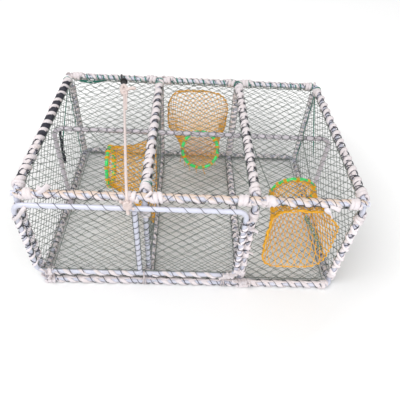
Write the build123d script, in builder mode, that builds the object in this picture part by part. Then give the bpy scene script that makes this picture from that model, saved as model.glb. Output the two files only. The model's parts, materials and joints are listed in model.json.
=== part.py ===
from build123d import *
from math import asin, atan2, cos, degrees, hypot, pi, radians, sin, sqrt
import os

os.makedirs("parts", exist_ok=True)

# A three-section lobster trap on a sheathed steel rod frame. X runs along the trap, the front
# with the door faces -Y, and Z is up from the ground. All sizes are in millimetres.

# Rod frame
rod_d = 14.0              # steel rod with its plastic sheath
weld_gap = 0.2            # between rods where they meet
frame_length = 900.0      # between the end hoops
hoop_depth = 610.0        # between a hoop's two posts
base_depth = 648.0        # between the front and back base rails
hoop_height = 345.0       # from the base rails up to the hoop tops
hoop_bend = 30.0
parlour_x = -125.0        # hoop between the parlour and the middle section
entrance_x = 162.0        # hoop between the middle section and the entrance section

# Cord wound round the rods
wrap_gap = 0.3
wrap_d = 6.0
post_wrap_d = 4.5
door_wrap_d = 5.0
floor_cut = 0.5           # flat worn on the underside of the base cords
rail_turns = 7            # turns of a long rail between the two inner hoops
hoop_pitch = 43.0
post_pitch = 40.0
door_pitch = 44.0
cord_margin = 0.3         # between a cord and what it lies against

# Netting
twine_d = 2.0
mesh_width = 48.0
mesh_height = 36.0
selvage = 4.0             # solid edge round a net and round its mouth

# Door, which hangs open downwards on ties round the front base rail
door_lift = 40.0          # door's bottom rod above the base rail
door_drop = 24.5          # door's top rod below the top rail
door_bend = 25.0
door_setback = 22.0       # door's right rod short of the entrance hoop
stiffener_setback = 25.0  # door's middle rod left of the parlour hoop
tie_d = 5.0
tie_clearance = 0.4
tie_room = 14.0           # clear of the wound cords on each side of a tie
tie_places = (-420.0, -138.0, 104.0)

# Entrance rings and net funnels
ring_d = 125.0
ring_tube_d = 11.0
funnel_wall = 2.0
mouth_gap = 0.4
mouth_round = 45.0
throat_flat = 2.0         # straight sides left between the throat's four arcs
stay_d = 3.0

# Closing cord: looped on the door's top rod, over the top rail, hooked on the back rail
cord_d = 8.0
cord_x = -166.0
rail_clearance = 0.4      # between the closing cord and the wound top rail
knot_d = 18.0
knot_length = 11.0
knot_round = 3.0
knot_bore_gap = 0.3
hook_x = -263.6
hook_wire_d = 7.0
eye_wall = 8.0
eye_length = 8.0
hook_clearance = 0.5
hook_wrap = 60.0          # degrees that the jaw reaches over the back rail
hook_shank = 50.0
hook_tilt = 3.0           # degrees that the shank rises from the jaw to the eye
cord_stub = 15.0          # cord end past the hook's eye

rod_r = rod_d / 2
cord_r = cord_d / 2
wrap_r = rod_r + wrap_gap + wrap_d
post_wrap_r = rod_r + wrap_gap + post_wrap_d
door_wrap_r = rod_r + wrap_gap + door_wrap_d
end_x = frame_length / 2
post_y = hoop_depth / 2
base_y = base_depth / 2
base_z = wrap_r - floor_cut
hoop_z = base_z + hoop_height
foot_z = base_z + rod_r + weld_gap
base_bend = base_y - post_y
rail_offset = (hoop_bend + rod_d + weld_gap) / sqrt(2) - hoop_bend
rail_y = post_y + rail_offset
rail_z = hoop_z + rail_offset
rail_end = end_x + rod_r
middle_x = end_x - rod_d - weld_gap
middle_z = hoop_z - rod_d - weld_gap
rail_pitch = (entrance_x - parlour_x) / rail_turns
door_y = -base_y
door_bottom_z = base_z + door_lift
door_top_z = rail_z - door_drop
door_left_x = -(end_x + wrap_r - rod_r)
door_right_x = entrance_x - door_setback
stiffener_x = parlour_x - stiffener_setback
loop_radius = rod_r + cord_margin + cord_r


def save(part, name):
    """Label a finished piece and write it out."""
    part.label = name
    export_step(part, f"parts/{name}.step")


def bent_rod(points, bend, closed=False):
    """A rod through points, with the same bend at each corner."""
    with BuildPart() as rod:
        with BuildLine() as centre:
            FilletPolyline(*points, radius=bend, close=closed)
        with BuildSketch(Plane(centre.line @ 0, z_dir=centre.line % 0)):
            Circle(rod_r)
        sweep()
    return rod.part


def straight_bar(start, end, diameter):
    """A straight round bar between two points."""
    with BuildPart() as bar:
        with BuildSketch(Plane(start, z_dir=end - start)):
            Circle(diameter / 2)
        extrude(amount=(end - start).length)
    return bar.part


# Base frame: one closed rod rectangle, with two cross bars under the inner hoops
base_corners = [(x * end_x, y * base_y, base_z) for x, y in ((1, -1), (1, 1), (-1, 1), (-1, -1))]
save(bent_rod(base_corners, base_bend, closed=True), "base_frame")
for bar_name, bar_x in (("parlour_bar", parlour_x), ("entrance_bar", entrance_x)):
    reach = base_y - rod_r - weld_gap
    bar = straight_bar(Vector(bar_x, -reach, base_z), Vector(bar_x, reach, base_z), rod_d)
    save(bar, bar_name)

# Hoops: each stands on a base member and carries the top rails in its bends
hoop_places = {
    "end_hoop_left": -end_x,
    "parlour_hoop": parlour_x,
    "entrance_hoop": entrance_x,
    "end_hoop_right": end_x,
}
for hoop_name, hoop_x in hoop_places.items():
    hoop_points = [
        (hoop_x, -post_y, foot_z),
        (hoop_x, -post_y, hoop_z),
        (hoop_x, post_y, hoop_z),
        (hoop_x, post_y, foot_z),
    ]
    save(bent_rod(hoop_points, hoop_bend), hoop_name)

# Middle hoop: runs the whole length under the other hoops and is lapped inside the end rails
middle_points = [
    (-middle_x, 0, base_z - rod_r),
    (-middle_x, 0, middle_z),
    (middle_x, 0, middle_z),
    (middle_x, 0, base_z - rod_r),
]
save(bent_rod(middle_points, hoop_bend), "middle_hoop")

for rail_name, side in (("top_rail_front", -1), ("top_rail_back", 1)):
    rail_start = Vector(-rail_end, side * rail_y, rail_z)
    save(straight_bar(rail_start, rail_start + Vector(2 * rail_end, 0, 0), rod_d), rail_name)


def quarter_turn(radius, pitch):
    """Start, arc middle, joint, arc middle and end of a quarter turn round Z in two tangent arcs."""
    lead = pitch / (2 * pi)
    start = Vector(radius, 0, 0)
    end = Vector(0, radius, pitch / 4)
    start_dir = Vector(0, radius, lead).normalized()
    end_dir = Vector(-radius, 0, lead).normalized()
    chord = end - start
    along = chord.dot(start_dir + end_dir)
    spread = 2 * (1 - start_dir.dot(end_dir))
    reach = (sqrt(along**2 + spread * chord.dot(chord)) - along) / spread
    first_corner = start + start_dir * reach
    last_corner = end - end_dir * reach
    joint = (first_corner + last_corner) * 0.5
    middles = []
    for near, corner, far in ((start, first_corner, joint), (joint, last_corner, end)):
        halfway = (near + far) * 0.5
        slope = (far - near).length / 2 / (corner - near).length
        middles.append(halfway + (corner - halfway) * (slope / (1 + slope)))
    return [start, middles[0], joint, middles[1], end], start_dir


def least_gap(arcs, diameter):
    """Least clear distance of a wound cord to itself, from points half a turn or more apart."""
    points = [arc @ share for arc in arcs for share in (0.0, 0.5)]
    half_turn = 8  # points: two an arc, two arcs a quarter turn
    nearest = min(
        (points[i] - points[j]).length
        for i in range(len(points))
        for j in range(i + half_turn, min(i + 3 * half_turn, len(points)))
    )
    return nearest - diameter


wound_gaps = []


def wound_cord(place, diameter, pitch, before, after, flat=False):
    """Cord laid round a rod along Z of its place, in quarter turns before and after its X."""
    turn, direction = quarter_turn(rod_r + wrap_gap + diameter / 2, pitch)

    def laid(point, quarter):
        turned = point.rotate(Axis.Z, 90 * quarter) + Vector(0, 0, pitch / 4 * quarter)
        return place.from_local_coords(turned)

    with BuildPart() as cord:
        with BuildLine() as route:
            Line(laid(turn[0] - direction * diameter, -before), laid(turn[0], -before))
            for quarter in range(-before, after):
                start, first_middle, joint, last_middle, end = [laid(point, quarter) for point in turn]
                ThreePointArc(start, first_middle, joint)
                ThreePointArc(joint, last_middle, end)
            Line(laid(turn[0], after), laid(turn[0] + direction * diameter, after))
        with BuildSketch(Plane(route.line @ 0, z_dir=route.line % 0)):
            Circle(diameter / 2)
        sweep()
        if flat:
            split(bisect_by=Plane.XY, keep=Keep.TOP)
    wound_gaps.append(least_gap(route.line.edges()[1:-1], diameter))
    return cord.part.solid()


def quarters(distance, pitch):
    """Whole quarter turns in a distance."""
    return int(4 * distance / pitch)


def spanning(axis_y, axis_z, away, diameter, pitch, span, flat=False):
    """Cord wound along X between two ends; span is low end, high end and where it lies away."""
    low, high, anchor = span
    place = Plane((anchor, axis_y, axis_z), x_dir=away, z_dir=(1, 0, 0))
    before = quarters(anchor - low, pitch)
    return wound_cord(place, diameter, pitch, before, quarters(high - anchor, pitch), flat)


# Cord round the top rails: it lies outwards where the rails rest on the hoop bends
rail_span = (-end_x - wrap_d, end_x, parlour_x)
for side_name, side in (("front", -1), ("back", 1)):
    rail_cord = spanning(side * rail_y, rail_z, (0, side, 1), wrap_d, rail_pitch, rail_span)
    save(rail_cord, f"wrap_top_{side_name}")

# Cord round the hoop tops: it lies on top where the middle hoop runs under them
top_turns = quarters(post_y - hoop_bend - wrap_d, hoop_pitch)
for hoop_name, hoop_x in hoop_places.items():
    place = Plane((hoop_x, 0, hoop_z), x_dir=(0, 0, 1), z_dir=(0, 1, 0))
    save(wound_cord(place, wrap_d, hoop_pitch, top_turns, top_turns), f"wrap_{hoop_name}")

# Cord round the posts; the parlour hoop's front post, behind the door, is bare
post_low = foot_z + wrap_r
post_high = hoop_z - hoop_bend - post_wrap_d
post_middle = (post_low + post_high) / 2
post_turns = quarters((post_high - post_low) / 2, post_pitch)
post_rows = {
    "front": (-1, (-end_x, entrance_x, end_x)),
    "back": (1, (-end_x, parlour_x, entrance_x, end_x)),
}
for row_name, (side, places) in post_rows.items():
    cords = []
    for post_x in places:
        place = Plane((post_x, side * post_y, post_middle), x_dir=(0, side, 0), z_dir=(0, 0, 1))
        cords.append(wound_cord(place, post_wrap_d, post_pitch, post_turns, post_turns))
    save(Compound(cords), f"wrap_posts_{row_name}")

# Cord round the base, worn flat where the trap stands on it; the front cords stop for the ties
side_turns = quarters(post_y - rod_r - 2 * wrap_d, hoop_pitch)
base_members = {
    "base_left": (-end_x, (-1, 0, 0)),
    "base_right": (end_x, (1, 0, 0)),
    "parlour_bar": (parlour_x, (0, 0, 1)),
    "entrance_bar": (entrance_x, (0, 0, 1)),
}
for member_name, (member_x, away) in base_members.items():
    place = Plane((member_x, 0, base_z), x_dir=away, z_dir=(0, 1, 0))
    cord = wound_cord(place, wrap_d, hoop_pitch, side_turns, side_turns, flat=True)
    save(cord, f"wrap_{member_name}")
base_reach = end_x - base_bend - wrap_d
back_span = (-base_reach, base_reach, parlour_x)
back_cord = spanning(base_y, base_z, (0, 1, 0), wrap_d, rail_pitch, back_span, flat=True)
save(back_cord, "wrap_base_back")
left_tie, middle_tie, right_tie = tie_places
front_spans = (
    (left_tie + tie_room, stiffener_x - tie_room, left_tie + tie_room),
    (parlour_x + tie_room, right_tie - tie_room, parlour_x + tie_room),
    (right_tie + tie_room, base_reach, entrance_x),
)
front_cords = [
    spanning(-base_y, base_z, (0, -1, 0), wrap_d, rail_pitch, span, flat=True)
    for span in front_spans
]
save(Compound(front_cords), "wrap_base_front")

# Door: a closed rod frame with a stiffener, and cord round its bottom rod between the ties
door_corners = [
    (door_right_x, door_y, door_bottom_z),
    (door_right_x, door_y, door_top_z),
    (door_left_x, door_y, door_top_z),
    (door_left_x, door_y, door_bottom_z),
]
save(bent_rod(door_corners, door_bend, closed=True), "door_frame")
stiffener_low = Vector(stiffener_x, door_y, door_bottom_z + rod_r + weld_gap)
stiffener_high = Vector(stiffener_x, door_y, door_top_z - rod_r - weld_gap)
save(straight_bar(stiffener_low, stiffener_high, rod_d), "door_stiffener")
door_cords = [
    spanning(door_y, door_bottom_z, (0, 0, -1), door_wrap_d, door_pitch, span)
    for span in front_spans[:2]
]
save(Compound(door_cords), "wrap_door_bottom")

# Hinge ties: loops round the front base rail and the door's bottom rod
tie_radius = rod_r + tie_clearance + tie_d / 2
tie_cords = []
for tie_x in tie_places:
    with BuildPart() as tie:
        with BuildLine(Plane.YZ.offset(tie_x)) as loop:
            Line((door_y - tie_radius, base_z), (door_y - tie_radius, door_bottom_z))
            ThreePointArc(
                (door_y - tie_radius, door_bottom_z),
                (door_y, door_bottom_z + tie_radius),
                (door_y + tie_radius, door_bottom_z),
            )
            Line((door_y + tie_radius, door_bottom_z), (door_y + tie_radius, base_z))
            ThreePointArc(
                (door_y + tie_radius, base_z),
                (door_y, base_z - tie_radius),
                (door_y - tie_radius, base_z),
            )
        with BuildSketch(Plane(loop.line @ 0, z_dir=loop.line % 0)):
            Circle(tie_d / 2)
        sweep()
    tie_cords.append(tie.part.solid())
save(Compound(tie_cords), "hinge_ties")


def gap_outlines(width, height, corners):
    """Corner points of each gap of a diamond mesh that fills a rectangle, corner gaps if wanted."""
    columns = round(width / mesh_width)
    rows = round(height / mesh_height)
    cell_w = width / columns
    cell_h = height / rows
    open_share = 1 - twine_d * hypot(cell_w, cell_h) / (cell_w * cell_h)
    half_w = cell_w / 2 * open_share
    half_h = cell_h / 2 * open_share
    centres = [(i, j) for i in range(columns + 1) for j in range(rows + 1)]
    if not corners:
        centres = [c for c in centres if c[0] % columns or c[1] % rows]
    centres += [(i + 0.5, j + 0.5) for i in range(columns) for j in range(rows)]
    outlines = []
    for column, row in centres:
        x = column * cell_w - width / 2
        y = row * cell_h - height / 2
        tips = [(x + half_w, y), (x, y + half_h), (x - half_w, y), (x, y - half_h)]
        in_width = [tip for tip in tips if abs(tip[0]) < (width + half_w) / 2]
        inside = [tip for tip in in_width if abs(tip[1]) < (height + half_h) / 2]
        if len(inside) == 2:
            inside.append((x, y))
        outlines.append(inside)
    return outlines


def ring_of(points):
    """Closed wire through flat points."""
    return Wire.make_polygon([Vector(x, y, 0) for x, y in points], close=True)


def net_panel(place, width, height, mouth=None, corner=0.0):
    """Netting as one holed face given the twine's thickness; mouth is its x, y, width and height."""
    open_w = width - 2 * selvage
    open_h = height - 2 * selvage
    holes = [ring_of(points) for points in gap_outlines(open_w, open_h, corner == 0.0)]
    if mouth:
        mouth_x, mouth_y, mouth_w, mouth_h = mouth
        with BuildSketch() as mouth_edge:
            with Locations((mouth_x, mouth_y)):
                RectangleRounded(mouth_w, mouth_h, mouth_round)
        band = offset(mouth_edge.sketch, amount=selvage, mode=Mode.PRIVATE)
        cut_faces = [face for hole in holes for face in (Face(hole) - band).faces()]
        holes = [face.outer_wire() for face in cut_faces if face.area > selvage**2]
        holes.append(mouth_edge.sketch.face().outer_wire())
    with BuildSketch() as edge:
        if corner:
            RectangleRounded(width, height, corner)
        else:
            Rectangle(width, height)
    with BuildPart() as panel:
        with BuildSketch(place.offset(-twine_d / 2)):
            add(Face(edge.sketch.face().outer_wire(), holes))
        extrude(amount=twine_d)
    return panel.part


def upright(centre, along):
    """Plane of an upright net: its X runs along X or Y, its Y is up."""
    return Plane(centre, x_dir=along, z_dir=Vector(*along).cross(Vector(0, 0, 1)))


def wall_net(low, high, along, mouth=None, corner=0.0):
    """Upright net between two opposite corners, with a mouth given the same way."""
    low = Vector(*low)
    high = Vector(*high)
    across = Vector(*along)
    centre = (low + high) * 0.5
    opening = None
    if mouth:
        mouth_low, mouth_high = [Vector(*point) for point in mouth]
        shift = (mouth_low + mouth_high) * 0.5 - centre
        size = mouth_high - mouth_low
        opening = (shift.dot(across), shift.Z, size.dot(across) + 2 * mouth_gap, size.Z + 2 * mouth_gap)
    span = high - low
    return net_panel(upright(centre, along), span.dot(across), span.Z, opening, corner)


def level_net(low_x, high_x, half_depth, level):
    """Level net between two X ends."""
    return net_panel(Plane(((low_x + high_x) / 2, 0, level)), high_x - low_x, 2 * half_depth)


# Netting over every side between the wound rods; its edges lie against their cords
hoop_clear = wrap_r + cord_margin
post_clear = post_wrap_r + cord_margin
side_clear = rod_r + cord_margin
top_half = rail_y - hoop_clear
floor_half = base_y - hoop_clear
floor_end = middle_x - side_clear
end_half = post_y - post_clear
wall_low = base_z + twine_d / 2 + cord_margin
wall_high = rail_z - hoop_clear
end_low = base_z + hoop_clear
end_high = hoop_z - hoop_clear
sections = {
    "left": (-end_x, parlour_x),
    "middle": (parlour_x, entrance_x),
    "right": (entrance_x, end_x),
}
front_mouth = ((212.0, -post_y, 75.0), (410.0, -post_y, 328.0))
back_mouth = ((-95.0, post_y, 108.0), (135.0, post_y, 323.0))
parlour_mouth = ((parlour_x, -150.0, 53.0), (parlour_x, 50.0, 318.0))

for section_name, (low_x, high_x) in sections.items():
    top_net = level_net(low_x + hoop_clear, high_x - hoop_clear, top_half, hoop_z)
    save(top_net, f"top_net_{section_name}")
    floor_low = max(low_x + hoop_clear, -floor_end)
    floor_high = min(high_x - hoop_clear, floor_end)
    save(level_net(floor_low, floor_high, floor_half, base_z), f"floor_net_{section_name}")
    back_low = (low_x + post_clear, post_y, wall_low)
    back_high = (high_x - post_clear, post_y, wall_high)
    opening = back_mouth if section_name == "middle" else None
    save(wall_net(back_low, back_high, (1, 0, 0), opening), f"back_net_{section_name}")

front_low = (entrance_x + post_clear, -post_y, wall_low)
front_high = (end_x - post_clear, -post_y, wall_high)
save(wall_net(front_low, front_high, (1, 0, 0), front_mouth), "front_net_right")
for side_name, side_x in (("left", -end_x), ("right", end_x)):
    low = (side_x, -end_half, end_low)
    high = (side_x, end_half, end_high)
    end_net = wall_net(low, high, (0, 1, 0), corner=hoop_bend - post_clear)
    save(end_net, f"end_net_{side_name}")
partition_low = (parlour_x, -end_half, end_low)
partition_high = (parlour_x, end_half, middle_z - side_clear)
save(wall_net(partition_low, partition_high, (0, 1, 0), parlour_mouth), "partition_net")

door_net_low = door_bottom_z + door_wrap_r + cord_margin
door_net_high = door_top_z - loop_radius - cord_r - cord_margin
door_corner = door_bend - rod_r
door_parts = {
    "left": (door_left_x + side_clear, stiffener_x - side_clear),
    "right": (stiffener_x + side_clear, door_right_x - side_clear),
}
for part_name, (low_x, high_x) in door_parts.items():
    low = (low_x, door_y, door_net_low)
    high = (high_x, door_y, door_net_high)
    save(wall_net(low, high, (1, 0, 0), corner=door_corner), f"door_net_{part_name}")


def funnel_shell(mouth_place, mouth_w, mouth_h, throat_place):
    """Net funnel from a mouth in a wall to the back of its ring: a thin shell open at both ends."""
    throat = ring_d + funnel_wall
    with BuildPart() as funnel:
        for inset, action in ((0.0, Mode.ADD), (funnel_wall, Mode.SUBTRACT)):
            with BuildSketch(mouth_place):
                RectangleRounded(mouth_w - 2 * inset, mouth_h - 2 * inset, mouth_round - inset)
            with BuildSketch(throat_place):
                side = throat - 2 * inset
                RectangleRounded(side, side, (side - throat_flat) / 2)
            loft(mode=action)
    return funnel.part


def stay(start, start_dir, start_reach, end, end_dir, end_reach):
    """Straight cord from one round member to another, cut off just clear of both."""
    run = (end - start).normalized()
    cuts = []
    for member_dir, reach in ((start_dir, start_reach), (end_dir, end_reach)):
        lean = abs(run.dot(member_dir.normalized()))
        cuts.append((reach + cord_margin + stay_d / 2 * lean) / sqrt(1 - lean**2))
    return straight_bar(start + run * cuts[0], end - run * cuts[1], stay_d)


# Entrance rings, each with its centre, the way it faces out of its funnel, the mouth of that
# funnel, the ring's X, the way into the trap at the mouth, and its stays: place on the ring in
# degrees, the point that it is tied to, and the direction and radius of what it is tied to
rings = {
    "front_entrance": (
        Vector(296, -181, 275),
        Vector(0, 0.986, 0.165),
        front_mouth,
        (1, 0, 0),
        (0, 1, 0),
        (
            (180, Vector(175, 0, middle_z), Vector(1, 0, 0), rod_r),
            (0, Vector(345, 0, middle_z), Vector(1, 0, 0), rod_r),
        ),
    ),
    "back_entrance": (
        Vector(28, 95, 210),
        Vector(-0.04, -0.79, 0.61),
        back_mouth,
        (1, 0, 0),
        (0, -1, 0),
        (
            (180, Vector(parlour_x, -240, hoop_z), Vector(0, 1, 0), wrap_r),
            (0, Vector(entrance_x, -265, hoop_z), Vector(0, 1, 0), wrap_r),
        ),
    ),
    "parlour_entrance": (
        Vector(-261, -55, 244),
        Vector(-1, 0, 0),
        parlour_mouth,
        (0, 1, 0),
        (-1, 0, 0),
        (
            (-90, Vector(-330, 0, middle_z), Vector(1, 0, 0), rod_r),
            (90, Vector(-end_x, -2 * hoop_pitch, base_z), Vector(0, 1, 0), rod_r),
        ),
    ),
}
for ring_name, (centre, facing, mouth, across, inward, ties) in rings.items():
    ring_place = Plane(centre, x_dir=across, z_dir=facing)
    with BuildPart() as ring:
        with BuildSketch(Plane(centre + ring_place.x_dir * (ring_d / 2), z_dir=ring_place.y_dir)):
            Circle(ring_tube_d / 2)
        revolve(axis=Axis(centre, ring_place.z_dir))
    save(ring.part, f"{ring_name}_ring")

    low = Vector(*mouth[0])
    high = Vector(*mouth[1])
    size = high - low
    into = Vector(*inward)
    mouth_place = Plane((low + high) * 0.5 - into * (twine_d / 2), x_dir=across, z_dir=inward)
    throat_place = ring_place.offset(-(ring_tube_d / 2 + cord_margin))
    mouth_w = size.dot(Vector(*across))
    save(funnel_shell(mouth_place, mouth_w, size.Z, throat_place), f"{ring_name}_funnel")

    stays = []
    for angle, anchor, anchor_dir, anchor_r in ties:
        out = ring_place.x_dir * cos(radians(angle)) + ring_place.y_dir * sin(radians(angle))
        ring_dir = ring_place.z_dir.cross(out)
        ring_point = centre + out * (ring_d / 2)
        tied = stay(ring_point, ring_dir, ring_tube_d / 2, anchor, anchor_dir, anchor_r)
        stays.append(tied.solid())
    save(Compound(stays), f"{ring_name}_stays")


def around(centre, radius, angle):
    """Point at an angle on a circle."""
    return (centre[0] + radius * cos(radians(angle)), centre[1] + radius * sin(radians(angle)))


# Closing cord, in the upright plane through its loop on the door and the eye of its hook
eye_offset = cord_r + knot_bore_gap + eye_wall / 2
cord_dir = Vector(hook_x + eye_offset - cord_x, rail_y - door_y, 0).normalized()
cord_place = Plane((cord_x, door_y, door_top_z), x_dir=cord_dir, z_dir=cord_dir.cross(Vector(0, 0, 1)))
bend_radius = wrap_r + rail_clearance + cord_r
jaw_radius = rod_r + hook_clearance + hook_wire_d / 2
front_rail = ((-rail_y - door_y) / cord_dir.Y, door_drop)
back_rail = ((rail_y - door_y - eye_offset * cord_dir.X) / cord_dir.Y, door_drop)
jaw_start = around(back_rail, jaw_radius, 90 - hook_tilt)
eye = around(jaw_start, hook_shank, 180 - hook_tilt)

# The cord leaves its loop on a line that touches the loop and the arc over the top rail
rise = degrees(atan2(front_rail[1], front_rail[0]))
rise += degrees(asin((bend_radius - loop_radius) / hypot(*front_rail)))
eye_run = hypot(eye[0] - front_rail[0], eye[1] - front_rail[1])
fall = degrees(atan2(eye[1] - front_rail[1], eye[0] - front_rail[0]))
fall -= degrees(asin(bend_radius / eye_run))
bend_out = (rise + fall) / 2 + 90
corner = around(front_rail, bend_radius / cos(radians((rise - fall) / 2)), bend_out)
loop_start = around((0, 0), loop_radius, rise)
loop_end = around((0, 0), loop_radius, rise + 90)
knot_reach = loop_radius - knot_d / 2 - cord_margin
cord_end = around(eye, eye_length / 2 + cord_stub, fall)
with BuildPart() as closing_cord:
    with BuildLine(cord_place) as cord_route:
        Line(around(loop_start, knot_reach, rise + 90), loop_start)
        ThreePointArc(loop_start, around((0, 0), loop_radius, rise - 135), loop_end)
        FilletPolyline(loop_end, corner, cord_end, radius=bend_radius)
    with BuildSketch(Plane(cord_route.line @ 0, z_dir=cord_route.line % 0)):
        Circle(cord_r)
    sweep()
save(closing_cord.part, "closing_cord")

# Knot: sits on the cord between the door's top rod and the top rail
knot_low = cord_place.from_local_coords(Vector(*around(loop_end, rod_r + cord_margin, rise)))
knot_high = cord_place.from_local_coords(Vector(*corner))
with BuildPart() as closing_knot:
    with BuildSketch(Plane(knot_low, z_dir=knot_high - knot_low)):
        Circle(knot_d / 2)
        Circle(cord_r + knot_bore_gap, mode=Mode.SUBTRACT)
    extrude(amount=knot_length)
    rims = closing_knot.edges().filter_by(GeomType.CIRCLE).group_by(SortBy.RADIUS)[-1]
    fillet(rims, knot_round)
save(closing_knot.part, "closing_knot")

# Hook: an eye round the cord, a shank beside its end and a jaw over the back rail
hook_place = cord_place.offset(-eye_offset)
eye_centre = cord_place.from_local_coords(Vector(*eye))
with BuildPart() as closing_hook:
    with BuildLine(hook_place) as shank:
        Line(eye, jaw_start)
        ThreePointArc(
            jaw_start,
            around(back_rail, jaw_radius, 90 - hook_wrap / 2),
            around(back_rail, jaw_radius, 90 - hook_wrap),
        )
    with BuildSketch(Plane(shank.line @ 0, z_dir=shank.line % 0)):
        Circle(hook_wire_d / 2)
    sweep()
    with BuildSketch(Plane(eye_centre, z_dir=cord_dir)):
        Circle(cord_r + knot_bore_gap + eye_wall)
        Circle(cord_r + knot_bore_gap, mode=Mode.SUBTRACT)
    extrude(amount=eye_length / 2, both=True)
save(closing_hook.part, "closing_hook")

cord_length = sum(edge.length for edge in cord_route.line.edges())
print(f"wound cords: least gap to themselves {min(wound_gaps):.2f} mm")
print(f"closing cord: loop radius {loop_radius:.1f}, bend radius {bend_radius:.1f}")
print(f"closing cord: length {cord_length:.1f}")
print(f"closing cord: volume {closing_cord.part.volume:.0f}")
print(f"closing cord: section by length {pi * cord_r**2 * cord_length:.0f}")
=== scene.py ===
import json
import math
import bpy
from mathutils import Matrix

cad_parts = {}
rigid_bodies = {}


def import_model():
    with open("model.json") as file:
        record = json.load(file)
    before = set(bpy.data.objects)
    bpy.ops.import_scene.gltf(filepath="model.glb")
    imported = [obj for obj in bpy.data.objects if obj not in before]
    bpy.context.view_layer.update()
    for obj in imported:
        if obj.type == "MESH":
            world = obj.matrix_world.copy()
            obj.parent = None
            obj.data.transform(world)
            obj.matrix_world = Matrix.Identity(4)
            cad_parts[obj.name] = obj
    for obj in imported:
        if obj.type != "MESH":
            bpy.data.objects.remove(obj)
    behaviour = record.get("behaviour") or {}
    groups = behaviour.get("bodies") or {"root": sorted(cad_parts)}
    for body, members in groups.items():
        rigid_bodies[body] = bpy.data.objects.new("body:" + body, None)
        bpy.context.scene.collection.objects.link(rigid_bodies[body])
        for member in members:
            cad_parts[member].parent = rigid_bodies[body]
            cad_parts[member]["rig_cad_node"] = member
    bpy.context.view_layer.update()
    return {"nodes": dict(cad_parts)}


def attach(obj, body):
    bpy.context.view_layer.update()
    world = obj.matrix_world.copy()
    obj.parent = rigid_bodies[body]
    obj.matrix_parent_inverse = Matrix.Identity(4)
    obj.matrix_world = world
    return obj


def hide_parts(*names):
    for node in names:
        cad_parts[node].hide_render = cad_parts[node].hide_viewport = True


bl_info = {
    "name": "Lobster trap",
    "version": (1, 0, 0),
    "blender": (4, 5, 0),
    "location": "View3D > Sidebar > Trap",
    "description": "Straps, netting, net funnels, lacing and closing cord of a three-section lobster trap",
    "category": "Object",
}

import bpy
import numpy as np
from mathutils import Matrix, Vector
from bpy.props import (
    FloatProperty,
    FloatVectorProperty,
    IntProperty,
    PointerProperty,
)

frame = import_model()

ROD = 0.007
HOOP_X = {"end_hoop_left": -0.45, "parlour_hoop": -0.125, "entrance_hoop": 0.162, "end_hoop_right": 0.45}
HOOP_Z = 0.3578
POST_Y = 0.305
BASE_Y = 0.324
BASE_Z = 0.0128
RAIL_Y = 0.30625
RAIL_Z = 0.35905
MIDDLE_Z = 0.3436
DOOR_Y = -0.324


class TrapStraps(bpy.types.PropertyGroup):
    """Sizes and colours of the straps wound round the rods."""

    width: FloatProperty(name="Strap width", description="Width of the flat strap", default=0.0125, unit="LENGTH")
    thickness: FloatProperty(name="Strap thickness", description="Thickness of the strap", default=0.0042, unit="LENGTH")
    colour: FloatVectorProperty(
        name="Strap colour", description="Clean strap", subtype="COLOR", default=(0.74, 0.69, 0.72)
    )
    # This colour tints random stain patches and, as painted warm top light, the upper faces of the straps.
    stain_and_top_light: FloatVectorProperty(
        name="Stain and top light colour", description="Dirt patches, and painted warm top light on upper faces", subtype="COLOR", default=(0.60, 0.45, 0.33)
    )


class TrapRods(bpy.types.PropertyGroup):
    """Colour of the sheathed rods."""

    colour: FloatVectorProperty(
        name="Sheath colour", description="Plastic sheath of the rods", subtype="COLOR", default=(0.62, 0.64, 0.75)
    )
    # Besides dirt patches, this colour tints the upper faces a little as painted top light.
    stain_and_top_light: FloatVectorProperty(
        name="Sheath stain", description="Dirt on the sheath", subtype="COLOR", default=(0.46, 0.40, 0.40)
    )


class TrapNets(bpy.types.PropertyGroup):
    """Sizes and colours of the flat netting and its lacing."""

    cell_width: FloatProperty(name="Mesh width", description="Width of a diamond", default=0.040, unit="LENGTH")
    cell_height: FloatProperty(name="Mesh height", description="Height of a diamond", default=0.030, unit="LENGTH")
    twine: FloatProperty(name="Twine", description="Diameter of the net twine", default=0.0016, unit="LENGTH")
    colour: FloatVectorProperty(
        name="Twine colour", description="Net twine", subtype="COLOR", default=(0.15, 0.18, 0.16)
    )
    lacing: FloatVectorProperty(
        name="Lacing colour", description="Twine that laces the nets", subtype="COLOR", default=(0.03, 0.03, 0.045)
    )
    seam: FloatVectorProperty(
        name="Seam colour", description="Teal twine of the end seams", subtype="COLOR", default=(0.03, 0.24, 0.18)
    )


class TrapFunnels(bpy.types.PropertyGroup):
    """Sizes and colours of the net funnels and their rings."""

    twine: FloatProperty(name="Twine", description="Diameter of the funnel twine", default=0.0025, unit="LENGTH")
    colour: FloatVectorProperty(
        name="Funnel colour", description="Funnel twine", subtype="COLOR", default=(0.90, 0.47, 0.02)
    )
    ring: FloatVectorProperty(
        name="Ring colour", description="Moulded entrance rings", subtype="COLOR", default=(0.03, 0.80, 0.17)
    )


class TrapCord(bpy.types.PropertyGroup):
    """Size and colour of the closing cord."""

    diameter: FloatProperty(name="Cord diameter", description="Elastic closing cord", default=0.008, unit="LENGTH")
    colour: FloatVectorProperty(
        name="Cord colour", description="Braided sleeve", subtype="COLOR", default=(0.74, 0.63, 0.60)
    )


class TrapStage(bpy.types.PropertyGroup):
    """The camera and the light of the stage."""

    lens: FloatProperty(name="Lens", description="Focal length in millimetres", default=35.08)
    lamp: FloatProperty(name="Key light", description="Power of the key light", default=43.0, unit="POWER")


def rng(seed):
    """Seeded source of small irregularities."""
    return np.random.default_rng(seed)


def unit(v):
    """Rows, or one vector, at length one."""
    v = np.asarray(v, float)
    return v / np.linalg.norm(v, axis=-1, keepdims=True)


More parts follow.
